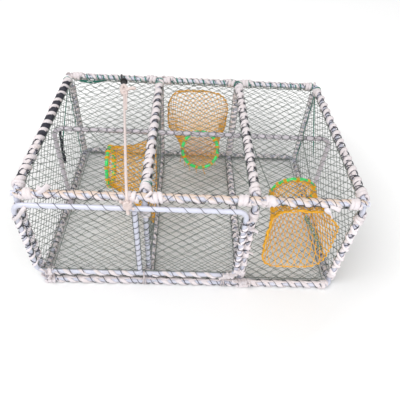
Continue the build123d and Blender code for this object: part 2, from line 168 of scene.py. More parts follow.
def smooth_noise(count, step, seed):
    """Slowly changing values between about -1 and 1 along a strap or cord."""
    knots = rng(seed).uniform(-1, 1, int(count / step) + 4)
    at = np.arange(count) / step
    i = at.astype(int)
    f = at - i
    f = f * f * (3 - 2 * f)
    return knots[i] * (1 - f) + knots[i + 1] * f


class Skin:
    """Collects tubes, straps and knots into the mesh of one piece."""

    def __init__(self):
        self.verts = []
        self.faces = []
        self.count = 0

    def add(self, verts, faces):
        self.verts.append(verts)
        self.faces.append(np.asarray(faces) + self.count)
        self.count += len(verts)

    def sweep(self, points, side, up, outline, closed=False):
        """Outline, in side and up, carried along points; outline may differ from point to point."""
        points, side, up = (np.asarray(a, float) for a in (points, side, up))
        outline = np.asarray(outline, float)
        if outline.ndim == 2:
            outline = np.repeat(outline[None], len(points), 0)
        n, m = len(points), outline.shape[1]
        verts = points[:, None] + side[:, None] * outline[:, :, :1] + up[:, None] * outline[:, :, 1:]
        rings = np.arange(n if closed else n - 1)[:, None]
        cols = np.arange(m)[None]
        after = (rings + 1) % n
        across = (cols + 1) % m
        quads = np.stack(
            [rings * m + cols, rings * m + across, after * m + across, after * m + cols], -1
        ).reshape(-1, 4)
        verts = verts.reshape(-1, 3)
        if closed:
            self.add(verts, quads)
            return
        verts = np.vstack([verts, points[:1], points[-1:]])
        first, last = n * m, n * m + 1
        c = np.arange(m)
        d = (c + 1) % m
        start = np.stack([d, c, np.full(m, first), np.full(m, first)], -1)
        end = np.stack([(n - 1) * m + c, (n - 1) * m + d, np.full(m, last), np.full(m, last)], -1)
        self.add(verts, np.vstack([quads, start, end]))

    def tube(self, points, radius, sides=6, closed=False):
        """Round tube along points; radius is one number or one a point."""
        points = np.asarray(points, float)
        if closed:
            run = np.roll(points, -1, 0) - np.roll(points, 1, 0)
        else:
            run = np.gradient(points, axis=0)
        run = unit(run)
        guide = np.array([0.31, 0.17, 0.93])
        if abs(run @ guide).max() > 0.97:
            guide = np.array([0.93, 0.31, -0.17])
        side = unit(np.cross(run, guide))
        up = np.cross(side, run)
        turn = np.linspace(0, 2 * math.pi, sides, endpoint=False)
        ring = np.stack([np.cos(turn), np.sin(turn)], -1)
        outline = ring[None] * np.broadcast_to(np.asarray(radius, float), (len(points),))[:, None, None]
        self.sweep(points, side, up, outline, closed)

    def bars(self, starts, ends, radius, sides=5, bow=None):
        """Many short straight or bowed bars at once."""
        starts, ends = np.asarray(starts, float), np.asarray(ends, float)
        run = unit(ends - starts)
        guide = np.where(abs(run[:, 2:]) > 0.9, [[1.0, 0, 0]], [[0, 0, 1.0]])
        side = unit(np.cross(run, guide))
        up = np.cross(side, run)
        turn = np.linspace(0, 2 * math.pi, sides, endpoint=False)
        ring = side[:, None] * np.cos(turn)[None, :, None] + up[:, None] * np.sin(turn)[None, :, None]
        stations = [starts, ends] if bow is None else [starts, (starts + ends) / 2 + bow, ends]
        thick = [1.0, 1.0] if bow is None else [1.0, 0.92, 1.0]
        verts = np.stack([s[:, None] + ring * radius * t for s, t in zip(stations, thick)], 1)
        rows = len(stations)
        b = np.arange(len(starts))[:, None, None] * rows * sides
        r = np.arange(rows - 1)[None, :, None] * sides
        c = np.arange(sides)[None, None]
        d = (c + 1) % sides
        quads = np.stack([b + r + c, b + r + d, b + r + sides + d, b + r + sides + c], -1)
        self.add(verts.reshape(-1, 3), quads.reshape(-1, 4))

    def knots(self, points, radius, seed):
        """Small faceted lumps where twines cross."""
        points = np.asarray(points, float)
        shape = np.array(
            [(1, 0, 0), (0, 1, 0), (-1, 0, 0), (0, -1, 0), (0.5, 0.5, 0.8), (-0.5, -0.5, 0.8), (0.5, -0.5, -0.8), (-0.5, 0.5, -0.8)]
        )
        stretch = rng(seed).uniform(0.8, 1.25, (len(points), 1, 3))
        verts = points[:, None] + shape[None] * stretch * radius
        tris = [
            (4, 0, 1, 1), (4, 1, 5, 5), (4, 5, 0, 0), (5, 1, 2, 2), (5, 2, 3, 3), (5, 3, 0, 0),
            (6, 0, 3, 3), (6, 3, 7, 7), (6, 7, 0, 0), (7, 3, 2, 2), (7, 2, 1, 1), (7, 1, 0, 0),
        ]
        faces = np.asarray(tris)[None] + (np.arange(len(points)) * len(shape))[:, None, None]
        self.add(verts.reshape(-1, 3), faces.reshape(-1, 4))

    def piece(self, name, body, material, slot, *nodes):
        """The collected mesh as a piece of the trap that rides on a body and stands for CAD nodes."""
        verts = np.vstack(self.verts)
        verts[:, 2] = np.maximum(verts[:, 2], 0.0002)
        faces = np.vstack(self.faces).tolist()
        faces = [f[:3] if f[2] == f[3] else f for f in faces]
        mesh = bpy.data.meshes.new(name)
        mesh.from_pydata(verts.tolist(), [], faces)
        mesh.validate()
        mesh.materials.append(material)
        mesh.shade_smooth()
        obj = bpy.data.objects.new(name, mesh)
        bpy.context.scene.collection.objects.link(obj)
        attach(obj, body)
        if nodes:
            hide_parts(*nodes)
        return obj


def noise_group():
    """Node group: mottled colour and its mask from noise in object space, with upper faces tinted as painted top light.
    """
    name = "Mottle"
    if name in bpy.data.node_groups:
        return bpy.data.node_groups[name]
    group = bpy.data.node_groups.new(name, "ShaderNodeTree")
    face = group.interface
    for label, kind in (("Clean", "NodeSocketColor"), ("Stain", "NodeSocketColor"), ("Scale", "NodeSocketFloat"),
                        ("Amount", "NodeSocketFloat"), ("Top Stain", "NodeSocketFloat")):
        face.new_socket(name=label, in_out="INPUT", socket_type=kind)
    for label, kind in (("Colour", "NodeSocketColor"), ("Mask", "NodeSocketFloat")):
        face.new_socket(name=label, in_out="OUTPUT", socket_type=kind)
    n, l = group.nodes, group.links
    start, end = n.new("NodeGroupInput"), n.new("NodeGroupOutput")
    where = n.new("ShaderNodeTexCoord")
    spots = n.new("ShaderNodeTexNoise")
    spots.inputs["Detail"].default_value = 6
    spots.inputs["Roughness"].default_value = 0.62
    l.new(where.outputs["Object"], spots.inputs["Vector"])
    l.new(start.outputs["Scale"], spots.inputs["Scale"])
    spread = n.new("ShaderNodeMapRange")
    spread.inputs["From Min"].default_value = 0.42
    spread.inputs["From Max"].default_value = 0.72
    l.new(spots.outputs["Fac"], spread.inputs["Value"])
    share = n.new("ShaderNodeMath")
    share.operation = "MULTIPLY"
    l.new(spread.outputs["Result"], share.inputs[0])
    l.new(start.outputs["Amount"], share.inputs[1])
    # Painted warm top light: upper faces are tinted towards the stain colour by how far their normal points up.
    split = n.new("ShaderNodeSeparateXYZ")
    l.new(where.outputs["Normal"], split.inputs["Vector"])
    top = n.new("ShaderNodeMapRange")
    top.inputs["From Min"].default_value = 0.35
    top.inputs["From Max"].default_value = 0.95
    l.new(split.outputs["Z"], top.inputs["Value"])
    painted_top_light = n.new("ShaderNodeMath")
    painted_top_light.operation = "MULTIPLY"
    l.new(top.outputs["Result"], painted_top_light.inputs[0])
    l.new(start.outputs["Top Stain"], painted_top_light.inputs[1])
    # The mask joins the real stain patches and the painted top light.
    stain_and_top_light_mask = n.new("ShaderNodeMath")
    stain_and_top_light_mask.operation = "MAXIMUM"
    l.new(share.outputs[0], stain_and_top_light_mask.inputs[0])
    l.new(painted_top_light.outputs[0], stain_and_top_light_mask.inputs[1])
    mix = n.new("ShaderNodeMix")
    mix.data_type = "RGBA"
    l.new(stain_and_top_light_mask.outputs[0], mix.inputs["Factor"])
    l.new(start.outputs["Clean"], mix.inputs["A"])
    l.new(start.outputs["Stain"], mix.inputs["B"])
    l.new(mix.outputs["Result"], end.inputs["Colour"])
    l.new(stain_and_top_light_mask.outputs[0], end.inputs["Mask"])
    return group


def finish_material(name, clean, stain_and_top_light, scale, amount, top, roughness, fibre, fibre_height, sheen=0.0, coat=0.0):
    """A material of one mottled colour with fine fibre or grain bumps; top is the share of painted top light on upper
    faces.
    """
    if name in bpy.data.materials:
        return bpy.data.materials[name]
    material = bpy.data.materials.new(name)
    material.use_nodes = True
    n, l = material.node_tree.nodes, material.node_tree.links
    shader = n["Principled BSDF"]
    shader.inputs["Roughness"].default_value = roughness
    shader.inputs["Sheen Weight"].default_value = sheen
    shader.inputs["Coat Weight"].default_value = coat
    mottle = n.new("ShaderNodeGroup")
    mottle.node_tree = noise_group()
    mottle.inputs["Clean"].default_value = (*clean, 1)
    mottle.inputs["Stain"].default_value = (*stain_and_top_light, 1)
    mottle.inputs["Scale"].default_value = scale
    mottle.inputs["Amount"].default_value = amount
    mottle.inputs["Top Stain"].default_value = top
    l.new(mottle.outputs["Colour"], shader.inputs["Base Color"])
    where = n.new("ShaderNodeTexCoord")
    fibres = n.new("ShaderNodeTexNoise")
    fibres.inputs["Scale"].default_value = fibre
    fibres.inputs["Detail"].default_value = 4
    l.new(where.outputs["Object"], fibres.inputs["Vector"])
    bump = n.new("ShaderNodeBump")
    bump.inputs["Strength"].default_value = 0.6
    bump.inputs["Distance"].default_value = fibre_height
    l.new(fibres.outputs["Fac"], bump.inputs["Height"])
    l.new(bump.outputs["Normal"], shader.inputs["Normal"])
    return material


def strap_material():
    p = bpy.context.scene.trap_straps
    # Upper faces take a little painted warm top light, top 0.14, besides the stain patches.
    return finish_material("Strap", p.colour, p.stain_and_top_light, 24, 0.28, 0.14, 0.78, 900, 0.0005, sheen=0.2)


def shade_lifted_strap_material():
    p = bpy.context.scene.trap_straps
    # The strap colour brightened by 1.2: painted light that lifts the shade on straps of rods that stand in shade.
    shade_lifted = [c * 1.2 for c in p.colour]
    return finish_material("Strap brightened against shade", shade_lifted, p.stain_and_top_light, 30, 0.22, 0.0, 0.78, 900, 0.0005, sheen=0.2)


def stained_top_lit_strap_material():
    p = bpy.context.scene.trap_straps
    # Stain patches, and a strong painted warm top light on upper faces, top 0.8.
    return finish_material("Stained strap with painted top light", p.colour, p.stain_and_top_light, 26, 0.3, 0.8, 0.8, 900, 0.0005, sheen=0.2)


def rod_material():
    p = bpy.context.scene.trap_rods
    # Upper faces take a little painted top light, top 0.1, besides the stain patches.
    return finish_material("Sheathed rod", p.colour, p.stain_and_top_light, 18, 0.35, 0.1, 0.42, 260, 0.0002, coat=0.15)


def bare_material():
    p = bpy.context.scene.trap_rods
    # Upper faces take a little painted top light, top 0.1, besides the stain patches.
    return finish_material("Bare rod", (0.60, 0.555, 0.61), p.stain_and_top_light, 14, 0.4, 0.1, 0.5, 260, 0.0002, coat=0.1)


def twine_material():
    p = bpy.context.scene.trap_nets
    return finish_material("Net twine", p.colour, (0.20, 0.22, 0.21), 40, 0.6, 0.0, 0.75, 1400, 0.0003)


def lacing_material():
    p = bpy.context.scene.trap_nets
    return finish_material("Lacing twine", p.lacing, (0.10, 0.10, 0.12), 60, 0.5, 0.0, 0.7, 1400, 0.0003)


def seam_material():
    p = bpy.context.scene.trap_nets
    return finish_material("Seam twine", p.seam, (0.03, 0.10, 0.09), 60, 0.6, 0.0, 0.7, 1400, 0.0003)


def funnel_material():
    p = bpy.context.scene.trap_funnels
    return finish_material("Funnel twine", p.colour, (0.62, 0.28, 0.02), 70, 0.5, 0.0, 0.7, 1500, 0.0004)


def strap_outline(width, thickness):
    """Flattened oval across a strap, a little hollow underneath."""
    turn = np.linspace(0, 2 * math.pi, 12, endpoint=False)
    x = np.sign(np.cos(turn)) * abs(np.cos(turn)) ** 0.75 * width / 2
    y = np.sign(np.sin(turn)) * abs(np.sin(turn)) ** 0.9 * thickness / 2
    y = y - (x / (width / 2)) ** 2 * thickness * 0.35
    return np.stack([x, y], -1)


def wind_strap(skin, anchor, axis, away, pitch, first, last, width, thickness, lift, lean, seed, bulge=0.0):
    """A strap wound round a rod between two turn counts; lean above 0 slants it on the near side."""
    anchor, axis, away = (np.asarray(a, float) for a in (anchor, axis, away))
    axis, away = unit(axis), unit(away)
    other = np.cross(axis, away)
    steps = int(round((last - first) * 28)) + 1
    s = np.linspace(first, last, steps)
    slant = np.clip(lean + 0.15 * smooth_noise(steps, 28, seed + 5), -0.95, 0.95)
    along = pitch * (s + slant * np.sin(2 * math.pi * s) / (2 * math.pi))
    along = along + smooth_noise(steps, 26, seed) * pitch * 0.09
    angle = 2 * math.pi * s + smooth_noise(steps, 31, seed + 1) * 0.15
    lifted = lift + thickness * 0.18 * smooth_noise(steps, 9, seed + 2)
    radius = ROD + thickness * 0.55 + lifted + bulge * np.maximum(np.cos(angle), 0) ** 2
    out = away * np.cos(angle)[:, None] + other * np.sin(angle)[:, None]
    points = anchor + axis * along[:, None] + out * radius[:, None]
    run = unit(np.gradient(points, axis=0))
    side = unit(np.cross(run, out))
    up = np.cross(side, run)
    tip = smooth_noise(steps, 12, seed + 3)[:, None] * 0.22
    side, up = unit(side + up * tip), unit(up - side * tip)
    wide = 1 + 0.16 * smooth_noise(steps, 11, seed + 4)
    ends = np.clip(np.minimum(np.arange(steps), np.arange(steps)[::-1]) / 4, 0.35, 1)
    shape = strap_outline(width, thickness)[None] * np.stack([wide * ends, 1 / wide], -1)[:, None]
    skin.sweep(points, side, up, shape)


def ridge(skin, anchor, axis, away, start, end, pitch, width, thickness, seed):
    """The part of a hitched strap that runs along a rod, dipping under each turn."""
    anchor, axis, away = np.asarray(anchor, float), unit(axis), unit(away)
    other = np.cross(axis, away)
    t = np.arange(start, end, 0.003)
    n = len(t)
    sway = other * (0.0022 * np.sin(2 * math.pi * t / pitch + 0.8) + 0.0012 * smooth_noise(n, 5, seed))[:, None]
    rise = ROD + 0.0030 + 0.0014 * np.cos(2 * math.pi * t / pitch) + 0.0007 * smooth_noise(n, 4, seed + 1)
    points = anchor + axis * t[:, None] + away * rise[:, None] + sway
    run = unit(np.gradient(points, axis=0))
    side = unit(np.cross(run, away))
    wide = 1 + 0.22 * np.cos(2 * math.pi * t / pitch + 1.2) + 0.12 * smooth_noise(n, 4, seed + 2)
    shape = strap_outline(width, thickness)[None] * np.stack([wide, np.ones(n)], -1)[:, None]
    skin.sweep(points, side, np.cross(side, run), shape)


def tail(skin, start, way, length, width, thickness, droop, seed):
    """A loose strap end that leaves a lashing, bends and droops."""
    r = rng(seed)
    start, way = np.asarray(start, float), unit(way)
    bend = unit(way + r.normal(0, 0.35, 3)) * length * 0.5
    t = np.linspace(0, 1, 16)[:, None]
    points = start + bend * t + (way * length - bend) * t**2 + np.array([0, 0, -droop]) * t**2
    run = unit(np.gradient(points, axis=0))
    side = unit(np.cross(run, unit(r.normal(0, 1, 3) + (0, 0, 0.6))))
    up = np.cross(side, run)
    turn = np.linspace(0, r.uniform(-1.3, 1.3), 16)[:, None]
    side, up = side * np.cos(turn) + up * np.sin(turn), up * np.cos(turn) - side * np.sin(turn)
    shape = strap_outline(width, thickness)[None] * np.stack([np.linspace(0.8, 1.1, 16), np.ones(16)], -1)[:, None]
    skin.sweep(points, side, up, shape)


def twine_lines(skin, anchor, axis, pitch, length, radius, thickness, phase, hand, seed):
    """Thin twine laced round a rod, in one hand."""
    anchor, axis = np.asarray(anchor, float), unit(axis)
    guide = np.array([0, 0, 1.0]) if abs(axis[2]) < 0.9 else np.array([1.0, 0, 0])
    x = unit(np.cross(axis, guide))
    y = np.cross(axis, x)
    steps = int(length / pitch * 18) + 2
    t = np.linspace(0, length, steps)
    angle = hand * 2 * math.pi * t / pitch + phase + smooth_noise(steps, 17, seed) * 0.25
    out = x * np.cos(angle)[:, None] + y * np.sin(angle)[:, None]
    skin.tube(anchor + axis * t[:, None] + out * (radius + thickness / 2), thickness / 2, 5)


class TRAP_OT_rods(bpy.types.Operator):
    """Finish the sheathed rods of the frame and the door"""

    bl_idname = "trap.rods"
    bl_label = "Rods"

    def execute(self, context):
        sheathed, bare = rod_material(), bare_material()
        for name, node in frame["nodes"].items():
            if name in HOOP_X or name in (
                "base_frame", "parlour_bar", "entrance_bar", "middle_hoop",
                "top_rail_front", "top_rail_back", "door_frame", "door_stiffener",
            ):
                node.data.materials.clear()
                node.data.materials.append(bare if name == "middle_hoop" else sheathed)
                node.data.shade_smooth()
        return {"FINISHED"}


class TRAP_OT_straps(bpy.types.Operator):
    """Wind the straps round the rods of the frame and the door"""

    bl_idname = "trap.straps"
    bl_label = "Straps"

    def execute(self, context):
        p = context.scene.trap_straps
        # The front rail's strap takes stain patches and a strong painted warm top light; posts, bars, the back base
        # rail and the door sides take the strap brightened as painted light against shade.
        material, stained_and_top_lit, shade_lifted = strap_material(), stained_top_lit_strap_material(), shade_lifted_strap_material()
        wide, thick = p.width, p.thickness
        seed = 10
        for name, side in (("front", -1), ("back", 1)):
            skin = Skin()
            wind_strap(
                skin, (-0.125, side * RAIL_Y, RAIL_Z), (1, 0, 0), (0, side, 1), 0.041, -8, 14,
                wide * (1.1 if side < 0 else 0.9), thick, 0.0008, 0.75 if side < 0 else 0.4, seed,
            )
            ridge(
                skin, (-0.125, side * RAIL_Y, RAIL_Z), (1, 0, 0), (0, 0.3, 1), -0.318, 0.567, 0.041,
                wide * 0.85, thick * 0.8, seed + 6,
            )
            skin.piece(f"strap_top_{name}", "frame", stained_and_top_lit if side < 0 else material, "wrap", f"wrap_top_{name}")
            seed += 10
        for (hoop, x), share in zip(HOOP_X.items(), (1.2, 1.7, 1.5, 1.25)):
            skin = Skin()
            wind_strap(
                skin, (x, 0, HOOP_Z), (0, 1, 0), (0, 0, 1), 0.043, -6.25, 6.25,
                wide * share, thick * 1.7, 0.0, -0.15, seed, bulge=0.0024,
            )
            ridge(
                skin, (x, -0.27, HOOP_Z), (0, 1, 0), (0.25 if x < 0 else -0.25, 0, 1), 0.0, 0.20 if x != 0.162 else 0.52,
                0.043, wide * 0.8, thick * 0.8, seed + 6,
            )
            skin.piece(f"strap_{hoop}", "frame", material, "wrap", f"wrap_{hoop}")
            seed += 10
        skin = Skin()
        for x, hand in ((-0.45, 1), (0.162, 1), (0.162, -1), (0.45, 1), (0.45, -1)):
            wind_strap(
                skin, (x, -POST_Y, 0.17830), (0, 0, 1), (0, -1, 0), 0.040 * hand, -3.5, 3.5,
                wide * 0.95, thick * 0.9, 0.0003 if hand > 0 else 0.0028, 0.3, seed,
            )
            seed += 10
        skin.piece("strap_posts_front", "frame", shade_lifted, "wrap", "wrap_posts_front")
        skin = Skin()
        for x in HOOP_X.values():
            wind_strap(
                skin, (x, POST_Y, 0.17830), (0, 0, 1), (0, -1, 0), 0.022, -6.4, 6.4,
                wide * 0.8, thick, 0.0010, -0.2, seed,
            )
            seed += 10
        skin.piece("strap_posts_back", "frame", shade_lifted, "wrap", "wrap_posts_back")
        for name, x, away in (
            ("base_left", -0.45, (-1, 0, 0)),
            ("base_right", 0.45, (1, 0, 0)),
            ("parlour_bar", -0.125, (0, 0, 1)),
            ("entrance_bar", 0.162, (0, 0, 1)),
        ):
            skin = Skin()
            wind_strap(
                skin, (x, 0, BASE_Z), (0, 1, 0), away, 0.043, -6.5, 6.5, wide, thick, 0.0004, 0.3, seed
            )
            wind_strap(
                skin, (x, 0, BASE_Z), (0, 1, 0), (0, 0, 1), -0.029, -9.4, 9.4, wide * 0.8, thick * 0.9, 0.0016, 0.2, seed + 5
            )
            skin.piece(
                f"strap_{name}", "frame", shade_lifted if name.endswith("bar") else material, "wrap", f"wrap_{name}"
            )
            seed += 10
        skin = Skin()
        wind_strap(
            skin, (-0.125, BASE_Y, BASE_Z), (1, 0, 0), (0, 1, 0), 0.041, -7.25, 13.25, wide, thick, 0.0004, 0.2, seed
        )
        wind_strap(
            skin, (-0.125, BASE_Y, BASE_Z), (1, 0, 0), (0, -1, 0.6), -0.041, -13.25, 7.25,
            wide * 0.8, thick * 0.8, 0.002, 0.2, seed + 5,
        )
        skin.piece("strap_base_back", "frame", shade_lifted, "wrap", "wrap_base_back")
        skin = Skin()
        for anchor, first, last in ((-0.406, 0, 5.75), (-0.111, 0, 4.75), (0.162, -1, 6.25)):
            seed += 10
            wind_strap(
                skin, (anchor, -BASE_Y, BASE_Z), (1, 0, 0), (0, -1, 0.5), 0.041, first, last,
                wide * 1.05, thick, 0.0004, 0.6, seed,
            )
        ridge(
            skin, (-0.406, -BASE_Y, BASE_Z), (1, 0, 0), (0, 0.1, 1), 0.0, 0.84, 0.041, wide * 0.6, thick * 0.7, seed + 6
        )
        skin.piece("strap_base_front", "frame", material, "wrap", "wrap_base_front")
        skin = Skin()
        for anchor, turns in ((-0.406, 5.5), (-0.111, 4.5)):
            seed += 10
            wind_strap(
                skin, (anchor, DOOR_Y, 0.0528), (1, 0, 0), (0, -1, 0.5), 0.044, 0, turns,
                wide * 0.9, thick, 0.0002, 0.5, seed,
            )
        skin.piece("strap_door_bottom", "door", material, "wrap", "wrap_door_bottom")
        skin = Skin()
        for x, away in ((-0.4563, (-1, -1, 0)), (0.140, (0, -1, 0))):
            seed += 10
            wind_strap(
                skin, (x, DOOR_Y, 0.190), (0, 0, 1), away, 0.036 if x < 0 else 0.027,
                -3 if x < 0 else -3.9, 3 if x < 0 else 3.9, wide * 0.8, thick * 0.8, 0.0003, 0.4 if x < 0 else 0.1, seed,
            )
        skin.piece("strap_door_sides", "door", shade_lifted, "wrap")
        return {"FINISHED"}


class TRAP_OT_lashings(bpy.types.Operator):
    """Lash the corners where hoops, rails and posts meet, and leave the loose ends"""

    bl_idname = "trap.lashings"
    bl_label = "Corner lashings"

    def execute(self, context):
        p = context.scene.trap_straps
        wide, thick = p.width, p.thickness
        seed = 500
        skin = Skin()
        for x in HOOP_X.values():
            for side in (-1, 1):
                for start, reach in ((x - 0.017, -1.0), (x + 0.017, 1.0)):
                    seed += 7
                    if not -0.45 < start < 0.45:
                        continue
                    wind_strap(
                        skin, (start, side * RAIL_Y, RAIL_Z), (1, 0, 0), (0, side, 1), 0.012 * reach,
                        0, 2.3, wide * 1.05, thick * 1.25, 0.0035, 0.0, seed,
                    )
                seed += 7
                wind_strap(
                    skin, (x, side * 0.284, HOOP_Z - 0.0006), (0, 1, 0), (0, 0, 1), 0.012 * -side,
                    0, 1.9, wide * 1.1, thick * 1.6, 0.0025, 0.0, seed,
                )
                seed += 7
                wind_strap(
                    skin, (x, side * POST_Y, 0.324), (0, 0, 1), (0, side, 0), -0.013,
                    0, 2.4, wide, thick * 1.1, 0.0025, 0.0, seed,
                )
                seed += 7
                wind_strap(
                    skin, (x, side * POST_Y, 0.031), (0, 0, 1), (0, side, 0), 0.012,
                    0, 2.1, wide, thick * 1.1, 0.002, 0.0, seed,
                )
        for x, length in ((-0.438, 2.2), (0.150, 2.3), (0.168, 2.1), (0.415, 2.0)):
            seed += 7
            wind_strap(
                skin, (x, -BASE_Y, BASE_Z), (1, 0, 0), (0, -1, 0.5), 0.011, 0, length,
                wide * 1.05, thick * 1.15, 0.0026, 0.0, seed,
            )
        loose = (
            ((-0.386, -0.314, 0.368), (0.75, 0.15, 0.65), 0.040, 1.5, 0.002),
            ((-0.372, -0.311, 0.370), (-0.5, 0.2, 0.30), 0.022, 1.2, 0.002),
            ((0.342, -0.318, 0.352), (0.65, -0.35, -0.55), 0.030, 1.5, 0.004),
            ((0.352, -0.318, 0.358), (0.9, -0.3, -0.05), 0.026, 1.1, 0.004),
            ((0.158, -0.318, 0.362), (-0.3, -0.5, 0.5), 0.026, 1.0, 0.006),
            ((0.172, -0.316, 0.365), (0.4, -0.4, 0.4), 0.024, 1.0, 0.006),
            ((-0.120, -0.316, 0.368), (0.5, 0.3, 0.5), 0.024, 1.0, 0.004),
            ((0.158, -0.320, 0.300), (-0.7, -0.5, 0.2), 0.020, 0.9, 0.003),
            ((0.160, -0.320, 0.260), (0.7, -0.5, 0.3), 0.022, 0.9, 0.004),
            ((0.158, -0.320, 0.215), (-0.8, -0.4, 0.3), 0.022, 0.9, 0.003),
            ((0.160, -0.320, 0.165), (0.8, -0.3, 0.2), 0.022, 0.9, 0.005),
            ((0.157, -0.320, 0.115), (-0.7, -0.3, -0.2), 0.024, 0.9, 0.003),
            ((0.152, -0.333, 0.030), (-0.6, -0.4, 0.7), 0.032, 1.1, 0.004),
            ((0.163, -0.335, 0.026), (0.5, -0.3, 0.8), 0.026, 1.0, 0.005),
            ((0.172, -0.334, 0.020), (0.7, -0.2, 0.4), 0.022, 0.9, 0.005),
            ((-0.428, -0.334, 0.024), (0.3, -0.2, 0.9), 0.028, 1.1, 0.005),
            ((-0.436, -0.330, 0.028), (-0.4, -0.1, 0.8), 0.024, 1.0, 0.004),
            ((-0.447, 0.300, 0.372), (-0.2, -0.5, 0.3), 0.022, 1.0, 0.004),
            ((-0.118, 0.306, 0.372), (0.3, -0.3, 0.4), 0.018, 0.9, 0.004),
            ((0.440, 0.300, 0.370), (0.2, 0.2, 0.5), 0.014, 0.9, 0.003),
        )
        for k, (start, way, length, share, droop) in enumerate(loose):
            tail(skin, start, way, length, wide * 0.85 * share, thick * 0.9, droop, 640 + k)
        skin.piece("corner_lashings", "frame", strap_material(), "wrap")
        skin = Skin()
        for x, length in ((-0.432, 1.9), (0.108, 2.2)):
            seed += 7
            wind_strap(
                skin, (x, DOOR_Y, 0.0528), (1, 0, 0), (0, -1, 0.5), 0.011, 0, length,
                wide, thick * 1.1, 0.002, 0.0, seed,
            )
        across = (
            (-0.4200, -0.3330, 0.3380), (-0.4310, -0.3350, 0.3230), (-0.4460, -0.3350, 0.3020),
            (-0.4600, -0.3340, 0.2880), (-0.4655, -0.3290, 0.2840),
        )
        points = np.asarray(across)
        run = unit(np.gradient(points, axis=0))
        side = unit(np.cross(run, (0, -1, 0)))
        skin.sweep(points, side, np.cross(side, run), strap_outline(wide * 0.8, thick * 0.7))
        for k, (start, way, length) in enumerate((
            ((0.118, -0.334, 0.060), (-0.6, -0.4, 0.7), 0.030), ((0.126, -0.334, 0.066), (0.6, -0.4, 0.8), 0.030),
            ((0.133, -0.333, 0.085), (0.8, -0.4, 0.3), 0.022), ((0.112, -0.333, 0.057), (-0.9, -0.3, 0.1), 0.024),
            ((-0.430, -0.333, 0.060), (-0.3, -0.3, 0.9), 0.030),
        )):
            tail(skin, start, way, length, wide * 0.8, thick * 0.9, 0.004, 680 + k)
        skin.piece("door_lashings", "door", strap_material(), "wrap")
        return {"FINISHED"}


def diamond_net(skin, corner, across, up, width, height, cell_w, cell_h, twine, sag, seed, mouth=None, round_by=0.0):
    """Knotted net of diamonds over a rectangle, with a border rope, and a mouth given by the points round it."""
    corner, across, up = np.asarray(corner, float), unit(across), unit(up)
    out = np.cross(across, up)
    cols = max(2, int(round(width / cell_w)) * 2)
    rows = max(2, int(round(height / cell_h)) * 2)
    a, b = np.meshgrid(np.arange(cols + 1), np.arange(rows + 1), indexing="ij")
    r = rng(seed)
    x = a * width / cols
    y = b * height / rows
    inner = (a > 0) & (a < cols) & (b > 0) & (b < rows)
    x = x + np.where(inner, r.normal(0, cell_w * 0.035, a.shape), 0)
    y = y + np.where(inner, r.normal(0, cell_h * 0.035, a.shape), 0)
    belly = np.sin(np.pi * a / cols) * np.sin(np.pi * b / rows)
    z = -sag * belly + np.where(inner, r.normal(0, 0.0006, a.shape), 0)
    points = corner + across * x[..., None] + up * y[..., None] + out * z[..., None]

    def outside(px, py):
        if mouth is None:
            return np.ones(px.shape, bool)
        edge = (mouth - corner) @ np.stack([across, up], -1)
        inside = np.zeros(px.shape, bool)
        for (x0, y0), (x1, y1) in zip(edge, np.roll(edge, -1, 0)):
            if y0 != y1:
                crosses = ((y0 > py) != (y1 > py)) & (px < (x1 - x0) * (py - y0) / (y1 - y0) + x0)
                inside ^= crosses
        return ~inside

    starts, ends = [], []
    for da, db in ((1, 1), (1, -1)):
        i, j = a[:-1], b[:-1]
        ok = ((i + j) % 2 == 0) & (j + db >= 0) & (j + db <= rows)
        i, j = i[ok], j[ok]
        p, q = points[i, j], points[i + da, j + db]
        middle_x = (x[i, j] + x[i + da, j + db]) / 2
        middle_y = (y[i, j] + y[i + da, j + db]) / 2
        keep = outside(middle_x, middle_y)
        starts.append(p[keep])
        ends.append(q[keep])
    starts, ends = np.vstack(starts), np.vstack(ends)
    bow = r.normal(0, 0.0005, starts.shape)
    skin.bars(starts, ends, twine / 2, 5, bow)
    even = ((a + b) % 2 == 0) & inner & outside(x, y)
    skin.knots(points[even], twine * 0.95, seed + 1)
    edge = []
    for px, py in ((0, 0), (width, 0), (width, height), (0, height)):
        edge.append(corner + across * px + up * py)
    rope = []
    for k in range(4):
        p, q = edge[k], edge[(k + 1) % 4]
        share = np.linspace(0, 1, 24, endpoint=False)[:, None]
        rope.append(p + (q - p) * share)
    rope = np.vstack(rope)
    skin.tube(rope, twine * 0.8, 5, closed=True)


